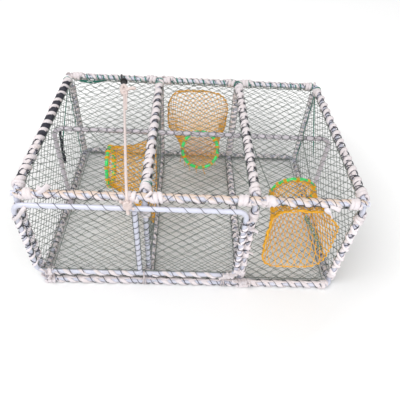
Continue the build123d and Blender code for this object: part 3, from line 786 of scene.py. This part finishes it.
NETS = (
    ("top_net_left", "frame", (-0.4364, -0.2927, HOOP_Z), (1, 0, 0), (0, 1, 0), 0.2978, 0.5853, 0.003),
    ("top_net_middle", "frame", (-0.1114, -0.2927, HOOP_Z), (1, 0, 0), (0, 1, 0), 0.2598, 0.5853, 0.003),
    ("top_net_right", "frame", (0.1756, -0.2927, HOOP_Z), (1, 0, 0), (0, 1, 0), 0.2608, 0.5853, 0.003),
    ("floor_net_left", "frame", (-0.4285, -0.3104, BASE_Z), (1, 0, 0), (0, 1, 0), 0.2899, 0.6208, 0.0),
    ("floor_net_middle", "frame", (-0.1114, -0.3104, BASE_Z), (1, 0, 0), (0, 1, 0), 0.2598, 0.6208, 0.0),
    ("floor_net_right", "frame", (0.1756, -0.3104, BASE_Z), (1, 0, 0), (0, 1, 0), 0.2529, 0.6208, 0.0),
    ("back_net_left", "frame", (-0.4379, POST_Y, 0.0141), (1, 0, 0), (0, 0, 1), 0.3008, 0.3313, 0.002),
    ("back_net_right", "frame", (0.1741, POST_Y, 0.0141), (1, 0, 0), (0, 0, 1), 0.2638, 0.3313, 0.002),
    ("end_net_left", "frame", (-0.45, -0.2929, 0.0264), (0, 1, 0), (0, 0, 1), 0.5858, 0.3178, -0.002),
    ("end_net_right", "frame", (0.45, -0.2929, 0.0264), (0, 1, 0), (0, 0, 1), 0.5858, 0.3178, 0.002),
    ("door_net_left", "door", (-0.449, DOOR_Y, 0.0654), (1, 0, 0), (0, 0, 1), 0.2917, 0.2618, 0.002),
    ("door_net_right", "door", (-0.1427, DOOR_Y, 0.0654), (1, 0, 0), (0, 0, 1), 0.2754, 0.2618, 0.002),
)
MOUTH_NETS = (
    ("back_net_middle", (-0.1129, POST_Y, 0.0141), (1, 0, 0), 0.2628, 0.3313, "back_entrance"),
    ("front_net_right", (0.1741, -POST_Y, 0.0141), (1, 0, 0), 0.2638, 0.3313, "front_entrance"),
    ("partition_net", (-0.125, -0.2929, 0.0264), (0, 1, 0), 0.5858, 0.3099, "parlour_entrance"),
)


class TRAP_OT_nets(bpy.types.Operator):
    """Knot the flat nets over the frame and the door"""

    bl_idname = "trap.nets"
    bl_label = "Nets"

    def execute(self, context):
        p = context.scene.trap_nets
        material = twine_material()
        for k, (node, body, corner, across, up, width, height, sag) in enumerate(NETS):
            skin = Skin()
            diamond_net(skin, corner, across, up, width, height, p.cell_width, p.cell_height, p.twine, sag, 900 + k)
            skin.piece(f"knotted_{node}", body, material, "net", node)
        for k, (node, corner, across, width, height, funnel) in enumerate(MOUTH_NETS):
            skin = Skin()
            mouth = mouth_edge(np.arange(90) / 90, *FUNNELS[funnel][2:6], FUNNELS[funnel][6])
            diamond_net(
                skin, corner, across, (0, 0, 1), width, height, p.cell_width, p.cell_height, p.twine, 0.0,
                950 + k, mouth,
            )
            skin.piece(f"knotted_{node}", "frame", material, "net", node)
        return {"FINISHED"}


class TRAP_OT_lacing(bpy.types.Operator):
    """Lace the nets to the rods with thin black twine"""

    bl_idname = "trap.lacing"
    bl_label = "Lacing"

    def execute(self, context):
        material = lacing_material()
        thin = 0.0022
        near = -0.785
        skin = Skin()
        for hand in (-1, 1):
            twine_lines(
                skin, (-0.425, 0, MIDDLE_Z), (1, 0, 0), 0.0260, 0.85, ROD, 0.0016, near, hand, 700 + hand
            )
        for side in (-1, 1):
            for start, pitch, seed in ((1.1, 0.041, 710), (4.0, 0.041, 720)):
                twine_lines(
                    skin, (-0.445, side * RAIL_Y, RAIL_Z), (1, 0, 0), pitch, 0.89,
                    ROD + 0.0044, 0.0019 if side < 0 else 0.0013, start, 1, seed + side,
                )
                twine_lines(
                    skin, (-0.43, side * BASE_Y, BASE_Z), (1, 0, 0), pitch, 0.86,
                    ROD + 0.0024, 0.0019, start + 0.5, 1, seed + 3 + side,
                )
        twine_lines(skin, (-0.445, -RAIL_Y, RAIL_Z), (1, 0, 0), 0.096, 0.89, ROD + 0.0048, 0.0017, near, -1, 729)
        coils = ((-0.08, 0.0064, 0.0046), (0.02, 0.0120, 0.0026), (0.20, 0.0140, 0.0024), (0.04, 0.0135, 0.0024))
        for (name, x), (start, step, coil) in zip(HOOP_X.items(), coils):
            twine_lines(skin, (x, start, HOOP_Z), (0, 1, 0), step, 0.28 - start, ROD + 0.0016, coil, 0.2, 1, 740)
            for hand in (-1, 1):
                twine_lines(
                    skin, (x, -0.28, HOOP_Z), (0, 1, 0), 0.0215, start + 0.28, ROD + 0.0040, 0.0026, 1.9, hand, 745 + hand
                )
            twine_lines(skin, (x, POST_Y, 0.06), (0, 0, 1), 0.033, 0.27, ROD + 0.0024, 0.0020, 0.2, -1, 750)
            if name != "parlour_hoop":
                for hand in (-1, 1):
                    twine_lines(
                        skin, (x, -POST_Y, 0.04), (0, 0, 1), 0.036, 0.29, ROD + 0.0002, thin, 0.6, hand, 760 + hand
                    )
        twine_lines(skin, (-0.125, -POST_Y, 0.04), (0, 0, 1), 0.024, 0.29, ROD, 0.0017, 0.3, 1, 771)
        for x in (-0.45, -0.125, 0.162, 0.45):
            twine_lines(skin, (x, -0.29, BASE_Z), (0, 1, 0), 0.0215, 0.58, ROD + 0.003, 0.0026, 0.2, 1, 775)
        # Seven dark strands and three dark lumps inside the left end draw a dark vertical band of unknown cause.
        for strand in range(7):
            u = np.linspace(0, 1, 24)
            line = np.stack([
                -0.4440 + 0.0045 * smooth_noise(24, 4, 830 + strand),
                0.078 - 0.028 * u + 0.0060 * smooth_noise(24, 5, 840 + strand),
                0.290 - 0.120 * u + 0.004 * smooth_noise(24, 3, 850 + strand),
            ], -1)
            skin.tube(line, 0.0017, 5)
        skin.knots([(-0.443, 0.058, 0.205), (-0.444, 0.052, 0.185), (-0.443, 0.048, 0.172)], 0.008, 856)
        skin.piece("lacing_twine", "frame", material, "net")
        skin = Skin()
        twine_lines(skin, (-0.42, DOOR_Y, 0.33455), (1, 0, 0), 0.041, 0.53, ROD, 0.0016, 0.4, 1, 781)
        twine_lines(skin, (-0.42, DOOR_Y, 0.0528), (1, 0, 0), 0.038, 0.53, ROD + 0.0024, 0.0018, 1.4, 1, 784)
        twine_lines(skin, (-0.15, DOOR_Y, 0.065), (0, 0, 1), 0.024, 0.255, ROD, 0.0017, 0.4, 1, 787)
        for hand in (-1, 1):
            twine_lines(skin, (0.140, DOOR_Y, 0.08), (0, 0, 1), 0.027, 0.225, ROD + 0.0020, 0.0024, 2.9, hand, 789 + hand)
            twine_lines(skin, (-0.4563, DOOR_Y, 0.08), (0, 0, 1), 0.040, 0.225, ROD + 0.0003, thin, 0.9, hand, 792 + hand)
        skin.piece("door_lacing_twine", "door", material, "net")
        skin = Skin()
        twine_lines(skin, (-0.44, RAIL_Y, RAIL_Z), (1, 0, 0), 0.019, 0.88, ROD, 0.0042, 0.2, 1, 800)
        for x, y, length in (
            (-0.125, -0.266, 0.012), (-0.125, 0.262, 0.010), (-0.125, 0.290, 0.008),
            (0.162, 0.288, 0.010), (0.45, 0.270, 0.012), (-0.45, 0.268, 0.008),
        ):
            twine_lines(skin, (x, y, HOOP_Z + 0.001), (0, 1, 0), 0.0060, length, ROD + 0.0066, 0.0022, 0.5, 1, 806)
        for x in (0.135, 0.188, 0.425):
            twine_lines(skin, (x, RAIL_Y, RAIL_Z), (1, 0, 0), 0.006, 0.012, ROD + 0.0064, 0.0022, 0.9, 1, 807)
        r = rng(801)
        for x, ends in (
            (-0.4488, ((0.262, 0.345), (0.060, 0.209))),
            (0.4488, ((0.285, 0.335), (0.127, 0.187))),
        ):
            (y0, z0), (y1, z1) = ends
            t = np.linspace(0, 1, 46)
            for strand in range(3):
                wave = 0.0045 * np.sin(t * 2 * math.pi * 11 + strand * 2.1) + r.normal(0, 0.0008, len(t))
                line = np.stack([np.full(len(t), x), y0 + (y1 - y0) * t + wave, z0 + (z1 - z0) * t + wave * 0.6], -1)
                skin.tube(line, 0.0017, 5)
            t = np.linspace(0, 1, 30)
            down = np.stack([np.full(30, x), y0 + 0.004 * np.sin(t * 30), z0 - t * 0.30], -1)
            skin.tube(down, 0.0015, 5)
        t = np.linspace(0, 1, 60)
        for strand in range(6):
            u = np.linspace(0, 1, 30)
            sag = 0.010 * np.sin(u * math.pi) * r.uniform(0.4, 1.5) + 0.0025 * smooth_noise(30, 3, 810 + strand)
            line = np.stack([
                -0.425 + 0.10 * u, 0.296 + 0.004 * smooth_noise(30, 4, 820 + strand), 0.3535 - sag
            ], -1)
            skin.tube(line, 0.0014, 5)
        for strand in range(2):
            wave = (0.0045 - 0.002 * strand) * np.sin(t * 2 * math.pi * 6 + strand * 2.6)
            line = np.stack([0.303 + 0.080 * t + wave, -0.302 + 0.02 * np.sin(t * math.pi), 0.303 - 0.140 * t + wave], -1)
            skin.tube(line, 0.0009, 5)
        skin.piece("seam_twine", "frame", seam_material(), "net")
        return {"FINISHED"}


FUNNELS = {
    "front_entrance": (
        (0.296, -0.181, 0.275), (0, 0.986, 0.165), (0.311, -POST_Y, 0.2015), (0.198, 0.253), (1, 0, 0), (0, 0, 1),
        (0.48, 0.16), 36, 7,
    ),
    "back_entrance": (
        (0.028, 0.095, 0.210), (-0.04, -0.79, 0.61), (0.020, POST_Y, 0.2155), (0.230, 0.215), (1, 0, 0), (0, 0, 1),
        (0.60, 0.0), 40, 11,
    ),
    "parlour_entrance": (
        (-0.261, -0.055, 0.244), (-1, 0, 0), (-0.125, -0.050, 0.1855), (0.200, 0.265), (0, 1, 0), (0, 0, 1),
        (0.46, 0.0), 32, 7,
    ),
}
RING_R = 0.0625
RING_TUBE = 0.0055


def mouth_edge(share, centre, size, across, up, shape):
    """Evenly spaced points round a mouth, from its right middle; shape is corner roundness and a pinched corner."""
    power, pinch = shape
    turn = np.linspace(0, 2 * math.pi, 721)
    c, s = np.cos(turn), np.sin(turn)
    near = 1 - pinch * np.exp(-(((turn - math.pi * 0.25) / 0.42) ** 2))
    x = np.sign(c) * abs(c) ** power * size[0] / 2 * near
    y = np.sign(s) * abs(s) ** power * size[1] / 2 * near
    step = np.concatenate([[0], np.cumsum(np.hypot(np.diff(x), np.diff(y)))])
    at = (np.asarray(share) % 1) * step[-1]
    x, y = np.interp(at, step, x), np.interp(at, step, y)
    return np.asarray(centre) + np.asarray(across) * x[:, None] + np.asarray(up) * y[:, None]


def ring_edge(share, centre, facing, across, radius):
    """Points round a ring, starting on the same side as its mouth."""
    facing = unit(facing)
    side = unit(np.asarray(across) - facing * (np.asarray(across) @ facing))
    up = np.cross(facing, side)
    if up[2] < 0:
        up = -up
    turn = np.asarray(share) * 2 * math.pi
    return np.asarray(centre) + side * np.cos(turn)[:, None] * radius + up * np.sin(turn)[:, None] * radius


class TRAP_OT_funnels(bpy.types.Operator):
    """Knot the net funnels and lash them to their rings and mouths"""

    bl_idname = "trap.funnels"
    bl_label = "Net funnels"

    def execute(self, context):
        p = context.scene.trap_funnels
        material = funnel_material()
        for k, (name, place) in enumerate(FUNNELS.items()):
            centre, facing, mouth, size, across, up, shape, around, along = place
            skin = Skin()
            r = rng(1200 + k)
            around, along = around * 2, along * 2
            face = unit(facing)
            centre = np.asarray(centre)
            back = centre - face * 0.004
            share = np.arange(around) / around
            wide = mouth_edge(share, mouth, size, across, up, shape)
            tight = ring_edge(share, back, facing, across, RING_R + 0.001)
            rows = []
            for b in range(along + 1):
                v = b / along
                pull = 1 - (1 - v) ** 1.2
                row = wide * (1 - pull) + tight * pull
                axis_point = np.asarray(mouth) * (1 - pull) + back * pull
                row = axis_point + (row - axis_point) * (1 - 0.10 * math.sin(math.pi * v))
                if 0 < b < along:
                    row = row + r.normal(0, 0.0009, row.shape)
                rows.append(row)
            rows = np.asarray(rows)
            starts, ends, knots = [], [], []
            for b in range(along):
                for a in range(around):
                    if (a + b) % 2:
                        continue
                    knots.append(rows[b, a])
                    for da in (-1, 1):
                        starts.append(rows[b, a])
                        ends.append(rows[b + 1, (a + da) % around])
            starts, ends = np.asarray(starts), np.asarray(ends)
            skin.bars(starts, ends, p.twine / 2, 5, r.normal(0, 0.0005, starts.shape))
            skin.knots(np.asarray(knots), p.twine * 0.9, 1300 + k)
            for strand in range(3):
                wobble = np.stack([smooth_noise(380, 8, 1310 + 10 * k + 3 * strand + c) for c in range(3)], -1)
                at = np.linspace(0, 1, 380, endpoint=False)
                edge = mouth_edge(at, mouth, size, across, up, shape)
                bunch = 0.5 + 0.5 * np.cos(2 * math.pi * (at - 0.36))
                slack = (0.5 - 0.5 * np.cos(math.pi * at * around)) * (1 - bunch) * 0.0055
                edge = edge - unit(edge - np.asarray(mouth)) * slack[:, None]
                skin.tube(
                    edge + wobble * (0.0010 + 0.0030 * bunch)[:, None], p.twine * (0.32 + 0.38 * bunch), 6, closed=True
                )
            lashes = 13
            for lash in range(lashes):
                t = np.linspace(0, 1, 44)
                at = (lash + 0.35 * r.random()) / lashes + t * 0.022
                ring = ring_edge(at, centre, facing, across, RING_R)
                outward = unit(ring - centre)
                turns = 2 * math.pi * (t * 3.0 + 0.5)
                reach = RING_TUBE + p.twine * 0.5
                wound = ring + outward * (np.cos(turns) * reach)[:, None] + face * (np.sin(turns) * reach)[:, None]
                skin.tube(wound, p.twine * 0.52, 6)
                at = (lash + 0.3 + 0.9 * t * 0.75) / lashes
                behind = ring_edge(at, centre - face * (RING_TUBE + 0.0012), facing, across, RING_R + 0.002)
                wave = np.sin(t * math.pi * 4)[:, None] * unit(behind - centre) * 0.003
                skin.tube(behind + wave, p.twine * 0.5, 5)
            for u in np.linspace(0.55, 0.95, 8) if name == "back_entrance" else np.linspace(0.1, 0.9, 5):
                top = ring_edge([u], centre, facing, across, RING_R + 0.006)[0]
                drop = 0.014 + 0.014 * r.random()
                lean = r.normal(0, 0.005, 3)
                ends = [top, top + lean * 0.4 + (0, 0, -drop * 0.5), top + lean + (0, 0, -drop)]
                skin.tube(ends, [p.twine * 0.45, p.twine * 0.45, p.twine * 0.6], 5)
            skin.piece(f"knotted_{name}_funnel", "frame", material, "funnel", f"{name}_funnel")
        return {"FINISHED"}


class TRAP_OT_rings(bpy.types.Operator):
    """Finish the entrance rings"""

    bl_idname = "trap.rings"
    bl_label = "Entrance rings"

    def execute(self, context):
        p = context.scene.trap_funnels
        material = finish_material("Ring plastic", p.ring, (0.03, 0.45, 0.08), 30, 0.5, 0.0, 0.38, 200, 0.0002, coat=0.3)
        for name in FUNNELS:
            node = frame["nodes"][f"{name}_ring"]
            node.data.materials.clear()
            node.data.materials.append(material)
            node.data.shade_smooth()
        return {"FINISHED"}


STAYS = {
    "front_entrance": (
        ((0.2335, -0.181, 0.275), (0.175, 0.0, MIDDLE_Z)),
        ((0.3585, -0.181, 0.275), (0.345, 0.0, MIDDLE_Z)),
    ),
    "back_entrance": (
        ((-0.0344, 0.097, 0.2085), (-0.125, -0.240, HOOP_Z)),
        ((0.0904, 0.093, 0.2115), (0.162, -0.265, HOOP_Z)),
    ),
    "parlour_entrance": (
        ((-0.261, -0.055, 0.3065), (-0.330, 0.0, MIDDLE_Z)),
        ((-0.261, -0.055, 0.1815), (-0.45, -0.086, BASE_Z)),
    ),
}


def twisted(skin, start, end, diameter, seed):
    """Two strands of twine laid round each other between two points."""
    start, end = np.asarray(start, float), np.asarray(end, float)
    length = np.linalg.norm(end - start)
    run = (end - start) / length
    x = unit(np.cross(run, (0.2, 0.9, 0.1)))
    y = np.cross(run, x)
    steps = int(length / 0.0016) + 2
    t = np.linspace(0, 1, steps)
    line = start + (end - start) * t[:, None] + np.array([0, 0, -1]) * (np.sin(np.pi * t) * length * 0.004)[:, None]
    for strand in range(2):
        angle = 2 * math.pi * t * length / 0.011 + math.pi * strand
        off = (x * np.cos(angle)[:, None] + y * np.sin(angle)[:, None]) * diameter * 0.24
        skin.tube(line + off, diameter * 0.27, 5)


class TRAP_OT_stays(bpy.types.Operator):
    """Stretch the twine stays from the rings to the frame"""

    bl_idname = "trap.stays"
    bl_label = "Stays"

    def execute(self, context):
        material = finish_material("Stay twine", (0.17, 0.21, 0.18), (0.06, 0.08, 0.07), 80, 0.5, 0.0, 0.75, 1500, 0.0003)
        for k, (name, pairs) in enumerate(STAYS.items()):
            skin = Skin()
            for start, end in pairs:
                start, end = np.asarray(start), np.asarray(end)
                run = unit(end - start)
                twisted(skin, start + run * 0.004, end - run * 0.008, 0.003, 1500 + k)
                for place, big in ((start, 0.0075), (end, 0.009)):
                    axis = unit(np.cross(run, (0.1, 0.3, 1)))
                    other = np.cross(run, axis)
                    turn = np.linspace(0, 2 * math.pi, 20, endpoint=False)
                    for shift in (-0.0012, 0.0012):
                        loop = place + run * (np.cos(turn) * big)[:, None] + other * (np.sin(turn) * big)[:, None]
                        skin.tube(loop + axis * shift, 0.0012, 5, closed=True)
            skin.piece(f"twisted_{name}_stays", "frame", material, "stay", f"{name}_stays")
        return {"FINISHED"}


class TRAP_OT_ties(bpy.types.Operator):
    """Tie the door to the front base rail"""

    bl_idname = "trap.ties"
    bl_label = "Hinge ties"

    def execute(self, context):
        skin = Skin()
        for k, x in enumerate((-0.420, -0.138, 0.104)):
            for strand, shift in enumerate((-0.0022, 0.0022)):
                low = np.linspace(math.pi, 2 * math.pi, 14)
                high = np.linspace(0, math.pi, 14)
                reach = 0.0097
                loop = [(math.cos(t) * reach, BASE_Z + math.sin(t) * reach) for t in low]
                loop += [(math.cos(t) * reach, 0.0528 + math.sin(t) * reach) for t in high]
                lean = 0.002 * (-1 if strand else 1)
                loop = [(x + shift + lean * (z - 0.033) / 0.02, DOOR_Y + y, z) for y, z in loop]
                skin.tube(loop, 0.0021, 7, closed=True)
        # Upper faces take painted top light, top 0.2, besides the stain patches.
        material = finish_material("Tie cord", (0.62, 0.56, 0.57), (0.30, 0.24, 0.22), 60, 0.5, 0.2, 0.8, 1200, 0.0004)
        skin.piece("tied_hinges", "door", material, "stay", "hinge_ties")
        return {"FINISHED"}


def cord_curve(name, points, diameter, material, body):
    """A smooth cord along its route, as one open spline."""
    curve = bpy.data.curves.new(name, "CURVE")
    curve.dimensions = "3D"
    curve.bevel_depth = diameter / 2
    curve.bevel_resolution = 4
    curve.resolution_u = 12
    curve.use_fill_caps = True
    spline = curve.splines.new("NURBS")
    spline.points.add(len(points) - 1)
    for point, place in zip(spline.points, points):
        point.co = (*place, 1)
    spline.order_u = 3
    spline.use_endpoint_u = True
    curve.materials.append(material)
    obj = bpy.data.objects.new(name, curve)
    bpy.context.scene.collection.objects.link(obj)
    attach(obj, body)
    return obj


class TRAP_OT_closing_cord(bpy.types.Operator):
    """Run the elastic closing cord from the door over the top to its hook"""

    bl_idname = "trap.closing_cord"
    bl_label = "Closing cord"

    def execute(self, context):
        p = context.scene.trap_cord
        body = "closing_cord_body"
        # Upper faces take a little painted top light, top 0.1, besides the stain patches.
        material = finish_material("Cord sleeve", p.colour, (0.52, 0.42, 0.40), 50, 0.4, 0.1, 0.7, 1300, 0.0004, sheen=0.2)
        route = (
            (-0.1664, -0.3213, 0.3457),
            (-0.1681, -0.3092, 0.3403),
            (-0.1668, -0.3183, 0.3196),
            (-0.1639, -0.3388, 0.3288),
            (-0.1650, -0.3330, 0.3440),
            (-0.1670, -0.3170, 0.3795),
            (-0.1760, -0.2600, 0.3765),
            (-0.2425, 0.2150, 0.3730),
            (-0.2513, 0.2774, 0.3725),
        )
        cord = cord_curve("elastic_closing_cord", route, p.diameter, material, body)
        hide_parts("closing_cord")
        skin = Skin()
        knot = np.array([-0.1655, -0.3300, 0.3530])
        axis = unit(np.array([-0.0019, 0.0137, 0.0311]))
        x = unit(np.cross(axis, (1, 0, 0)))
        y = np.cross(axis, x)
        t = np.linspace(0, 1, 130)
        turns = 2 * math.pi * 3.6 * t
        reach = 0.0070 + 0.0022 * np.sin(math.pi * t)
        coil = knot + axis * ((t - 0.5) * 0.0190)[:, None]
        coil = coil + x * (np.cos(turns) * reach)[:, None] + y * (np.sin(turns) * reach)[:, None]
        skin.tube(coil, 0.0037, 8)
        for k, (way, length, droop) in enumerate((
            ((-0.6, -0.3, 0.8), 0.028, 0.002), ((-0.2, -0.5, 1.0), 0.022, 0.0),
            ((0.8, -0.4, -0.3), 0.020, 0.004), ((0.1, -0.3, -1.0), 0.026, 0.0),
        )):
            tail(skin, knot + x * 0.004 * (-1) ** k, way, length, 0.0085, 0.0060, droop, 860 + k)
        skin.piece("tied_closing_knot", body, material, "cord", "closing_knot")
        # Upper faces of the black hook take a lighter painted top light, top 0.2, besides the patches.
        hook_material = finish_material(
            "Hook plastic", (0.018, 0.018, 0.022), (0.06, 0.055, 0.05), 40, 0.5, 0.2, 0.45, 300, 0.0002, coat=0.1
        )
        eye = np.array([-0.2486, 0.2585, 0.3727])
        run = unit(np.array([-0.0665, 0.475, -0.0005]))
        side = np.array([0.99, 0.139, 0.0])
        t = np.linspace(0, 1, 24)
        skin = Skin()
        girth = np.interp(t, (0, 0.08, 0.2, 0.75, 0.92, 1), (0.0045, 0.0088, 0.0082, 0.0072, 0.0080, 0.0052))
        skin.tube(eye + run * 0.004 - run * (0.056 * t)[:, None], girth, 18)
        skin.piece("hook_socket", body, hook_material, "hook")
        skin = Skin()
        eye = eye - run * 0.046
        t = t[:, None]
        second = eye - run * (0.030 + 0.110 * t) + side * (0.0080 - 0.0020 * t) + (0, 0, 0.002)
        skin.tube(second, 0.0034, 8)
        turn = np.linspace(0, 2 * math.pi, 48, endpoint=False)
        fold = eye - run * (0.018 - 0.024 * np.cos(turn))[:, None] + side * (0.0085 * np.sin(turn))[:, None]
        skin.tube(fold + np.array([0, 0, 1]) * (0.003 + 0.0035 * np.cos(turn))[:, None], 0.0058, 10, closed=True)
        turns = np.linspace(0.1, 2.1, 60) * 2 * math.pi
        loop = eye - run * 0.030 - run * (turns / 40)[:, None] * 0.03
        loop = loop + side * (np.cos(turns) * 0.0085 + 0.001)[:, None]
        loop = loop + np.array([0, 0, 1]) * (np.sin(turns) * 0.0082)[:, None]
        skin.tube(loop, 0.0036, 8)
        stub = eye - run * 0.026 + side * (0.006 + 0.032 * t) + np.array([0, 0.6, 0.3]) * 0.016 * np.sin(t * 2.4)
        skin.tube(stub + (0, 0, 0.003), np.interp(t[:, 0], (0, 0.8, 1), (0.0050, 0.0060, 0.0046)), 10)
        skin.piece("folded_cord_end", body, material, "cord")
        hook = frame["nodes"]["closing_hook"]
        hook.data.materials.clear()
        hook.data.materials.append(hook_material)
        hook.data.shade_smooth()
        return {"FINISHED"}


def lamp(name, place, aim, size, power, colour=(1, 1, 1)):
    """A soft square lamp aimed at a point."""
    light = bpy.data.lights.new(name, "AREA")
    light.size = size
    light.energy = power
    light.color = colour
    obj = bpy.data.objects.new(name, light)
    bpy.context.scene.collection.objects.link(obj)
    obj.location = place
    obj.rotation_euler = (Vector(aim) - Vector(place)).to_track_quat("-Z", "Y").to_euler()


class TRAP_OT_stage(bpy.types.Operator):
    """Set up the floor, the light and the camera"""

    bl_idname = "trap.stage"
    bl_label = "Stage"

    def execute(self, context):
        p = context.scene.trap_stage
        scene = context.scene
        mesh = bpy.data.meshes.new("floor")
        mesh.from_pydata([(-6, -6, 0), (6, -6, 0), (6, 6, 0), (-6, 6, 0)], [], [(0, 1, 2, 3)])
        floor = bpy.data.objects.new("floor", mesh)
        scene.collection.objects.link(floor)
        material = bpy.data.materials.new("Floor")
        material.use_nodes = True
        shader = material.node_tree.nodes["Principled BSDF"]
        shader.inputs["Base Color"].default_value = (0.86, 0.86, 0.86, 1)
        shader.inputs["Roughness"].default_value = 0.9
        n, l = material.node_tree.nodes, material.node_tree.links
        where, far, glow = n.new("ShaderNodeTexCoord"), n.new("ShaderNodeVectorMath"), n.new("ShaderNodeMapRange")
        far.operation = "LENGTH"
        glow.inputs["From Min"].default_value = 0.60
        glow.inputs["From Max"].default_value = 1.15
        glow.inputs["To Max"].default_value = 0.42
        path, seen = n.new("ShaderNodeLightPath"), n.new("ShaderNodeMath")
        seen.operation = "MULTIPLY"
        l.new(where.outputs["Object"], far.inputs[0])
        l.new(far.outputs["Value"], glow.inputs["Value"])
        l.new(glow.outputs["Result"], seen.inputs[0])
        l.new(path.outputs["Is Camera Ray"], seen.inputs[1])
        shader.inputs["Emission Color"].default_value = (1, 1, 1, 1)
        l.new(seen.outputs["Value"], shader.inputs["Emission Strength"])
        mesh.materials.append(material)
        world = bpy.data.worlds.new("Pale studio")
        scene.world = world
        world.use_nodes = True
        world.node_tree.nodes["Background"].inputs["Color"].default_value = (1, 1, 1, 1)
        n, l = world.node_tree.nodes, world.node_tree.links
        path, strength = n.new("ShaderNodeLightPath"), n.new("ShaderNodeMapRange")
        strength.inputs["To Min"].default_value = 0.56
        l.new(path.outputs["Is Camera Ray"], strength.inputs["Value"])
        l.new(strength.outputs["Result"], n["Background"].inputs["Strength"])
        lamp("key", (-0.9, -0.9, 2.4), (0, 0, 0.1), 1.6, p.lamp)
        lamp("fill", (1.1, -2.2, 1.0), (0, 0, 0.15), 1.8, p.lamp * 0.5)
        scene.view_settings.view_transform = "Standard"
        camera = bpy.data.cameras.new("camera")
        camera.lens = p.lens
        camera.sensor_width = 36
        eye = bpy.data.objects.new("camera", camera)
        scene.collection.objects.link(eye)
        azimuth, down, roll = (math.radians(a) for a in (3.54, 44.64, 4.36))
        look = Vector((math.sin(azimuth) * math.cos(down), math.cos(azimuth) * math.cos(down), -math.sin(down)))
        right = look.cross(Vector((0, 0, 1))).normalized()
        upward = right.cross(look)
        turned = right * math.cos(roll) + upward * math.sin(roll)
        upward = upward * math.cos(roll) - right * math.sin(roll)
        matrix = Matrix((turned, upward, -look)).transposed().to_4x4()
        matrix.translation = (-0.0274, -1.0143, 1.0562)
        eye.matrix_world = matrix
        scene.camera = eye
        return {"FINISHED"}


class TRAP_PT_panel(bpy.types.Panel):
    """Lists the sizes, colours and pieces of the trap."""

    bl_label = "Lobster trap"
    bl_idname = "TRAP_PT_panel"
    bl_space_type = "VIEW_3D"
    bl_region_type = "UI"
    bl_category = "Trap"

    def draw(self, context):
        for group in GROUPS:
            box = self.layout.box()
            settings = getattr(context.scene, group)
            for name in settings.bl_rna.properties.keys():
                if name not in ("rna_type", "name"):
                    box.prop(settings, name)
        for operator in OPERATORS:
            self.layout.operator(operator.bl_idname)


GROUPS = {
    "trap_straps": TrapStraps,
    "trap_rods": TrapRods,
    "trap_nets": TrapNets,
    "trap_funnels": TrapFunnels,
    "trap_cord": TrapCord,
    "trap_stage": TrapStage,
}
OPERATORS = (
    TRAP_OT_rods,
    TRAP_OT_straps,
    TRAP_OT_lashings,
    TRAP_OT_nets,
    TRAP_OT_lacing,
    TRAP_OT_funnels,
    TRAP_OT_rings,
    TRAP_OT_stays,
    TRAP_OT_ties,
    TRAP_OT_closing_cord,
    TRAP_OT_stage,
)


def register():
    for name, group in GROUPS.items():
        bpy.utils.register_class(group)
        setattr(bpy.types.Scene, name, PointerProperty(type=group))
    for operator in OPERATORS:
        bpy.utils.register_class(operator)
    bpy.utils.register_class(TRAP_PT_panel)


def unregister():
    bpy.utils.unregister_class(TRAP_PT_panel)
    for operator in reversed(OPERATORS):
        bpy.utils.unregister_class(operator)
    for name, group in GROUPS.items():
        delattr(bpy.types.Scene, name)
        bpy.utils.unregister_class(group)


def main():
    for name in [o.name for o in bpy.data.objects if "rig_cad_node" not in o and o.type in ("MESH", "CAMERA", "LIGHT")]:
        bpy.data.objects.remove(bpy.data.objects[name])
    register()
    for operator in OPERATORS:
        step = operator.bl_idname.split(".")[1]
        if getattr(bpy.ops.trap, step)() != {"FINISHED"}:
            raise RuntimeError(f"{operator.bl_label} was not finished")


if __name__ == "__main__":
    main()
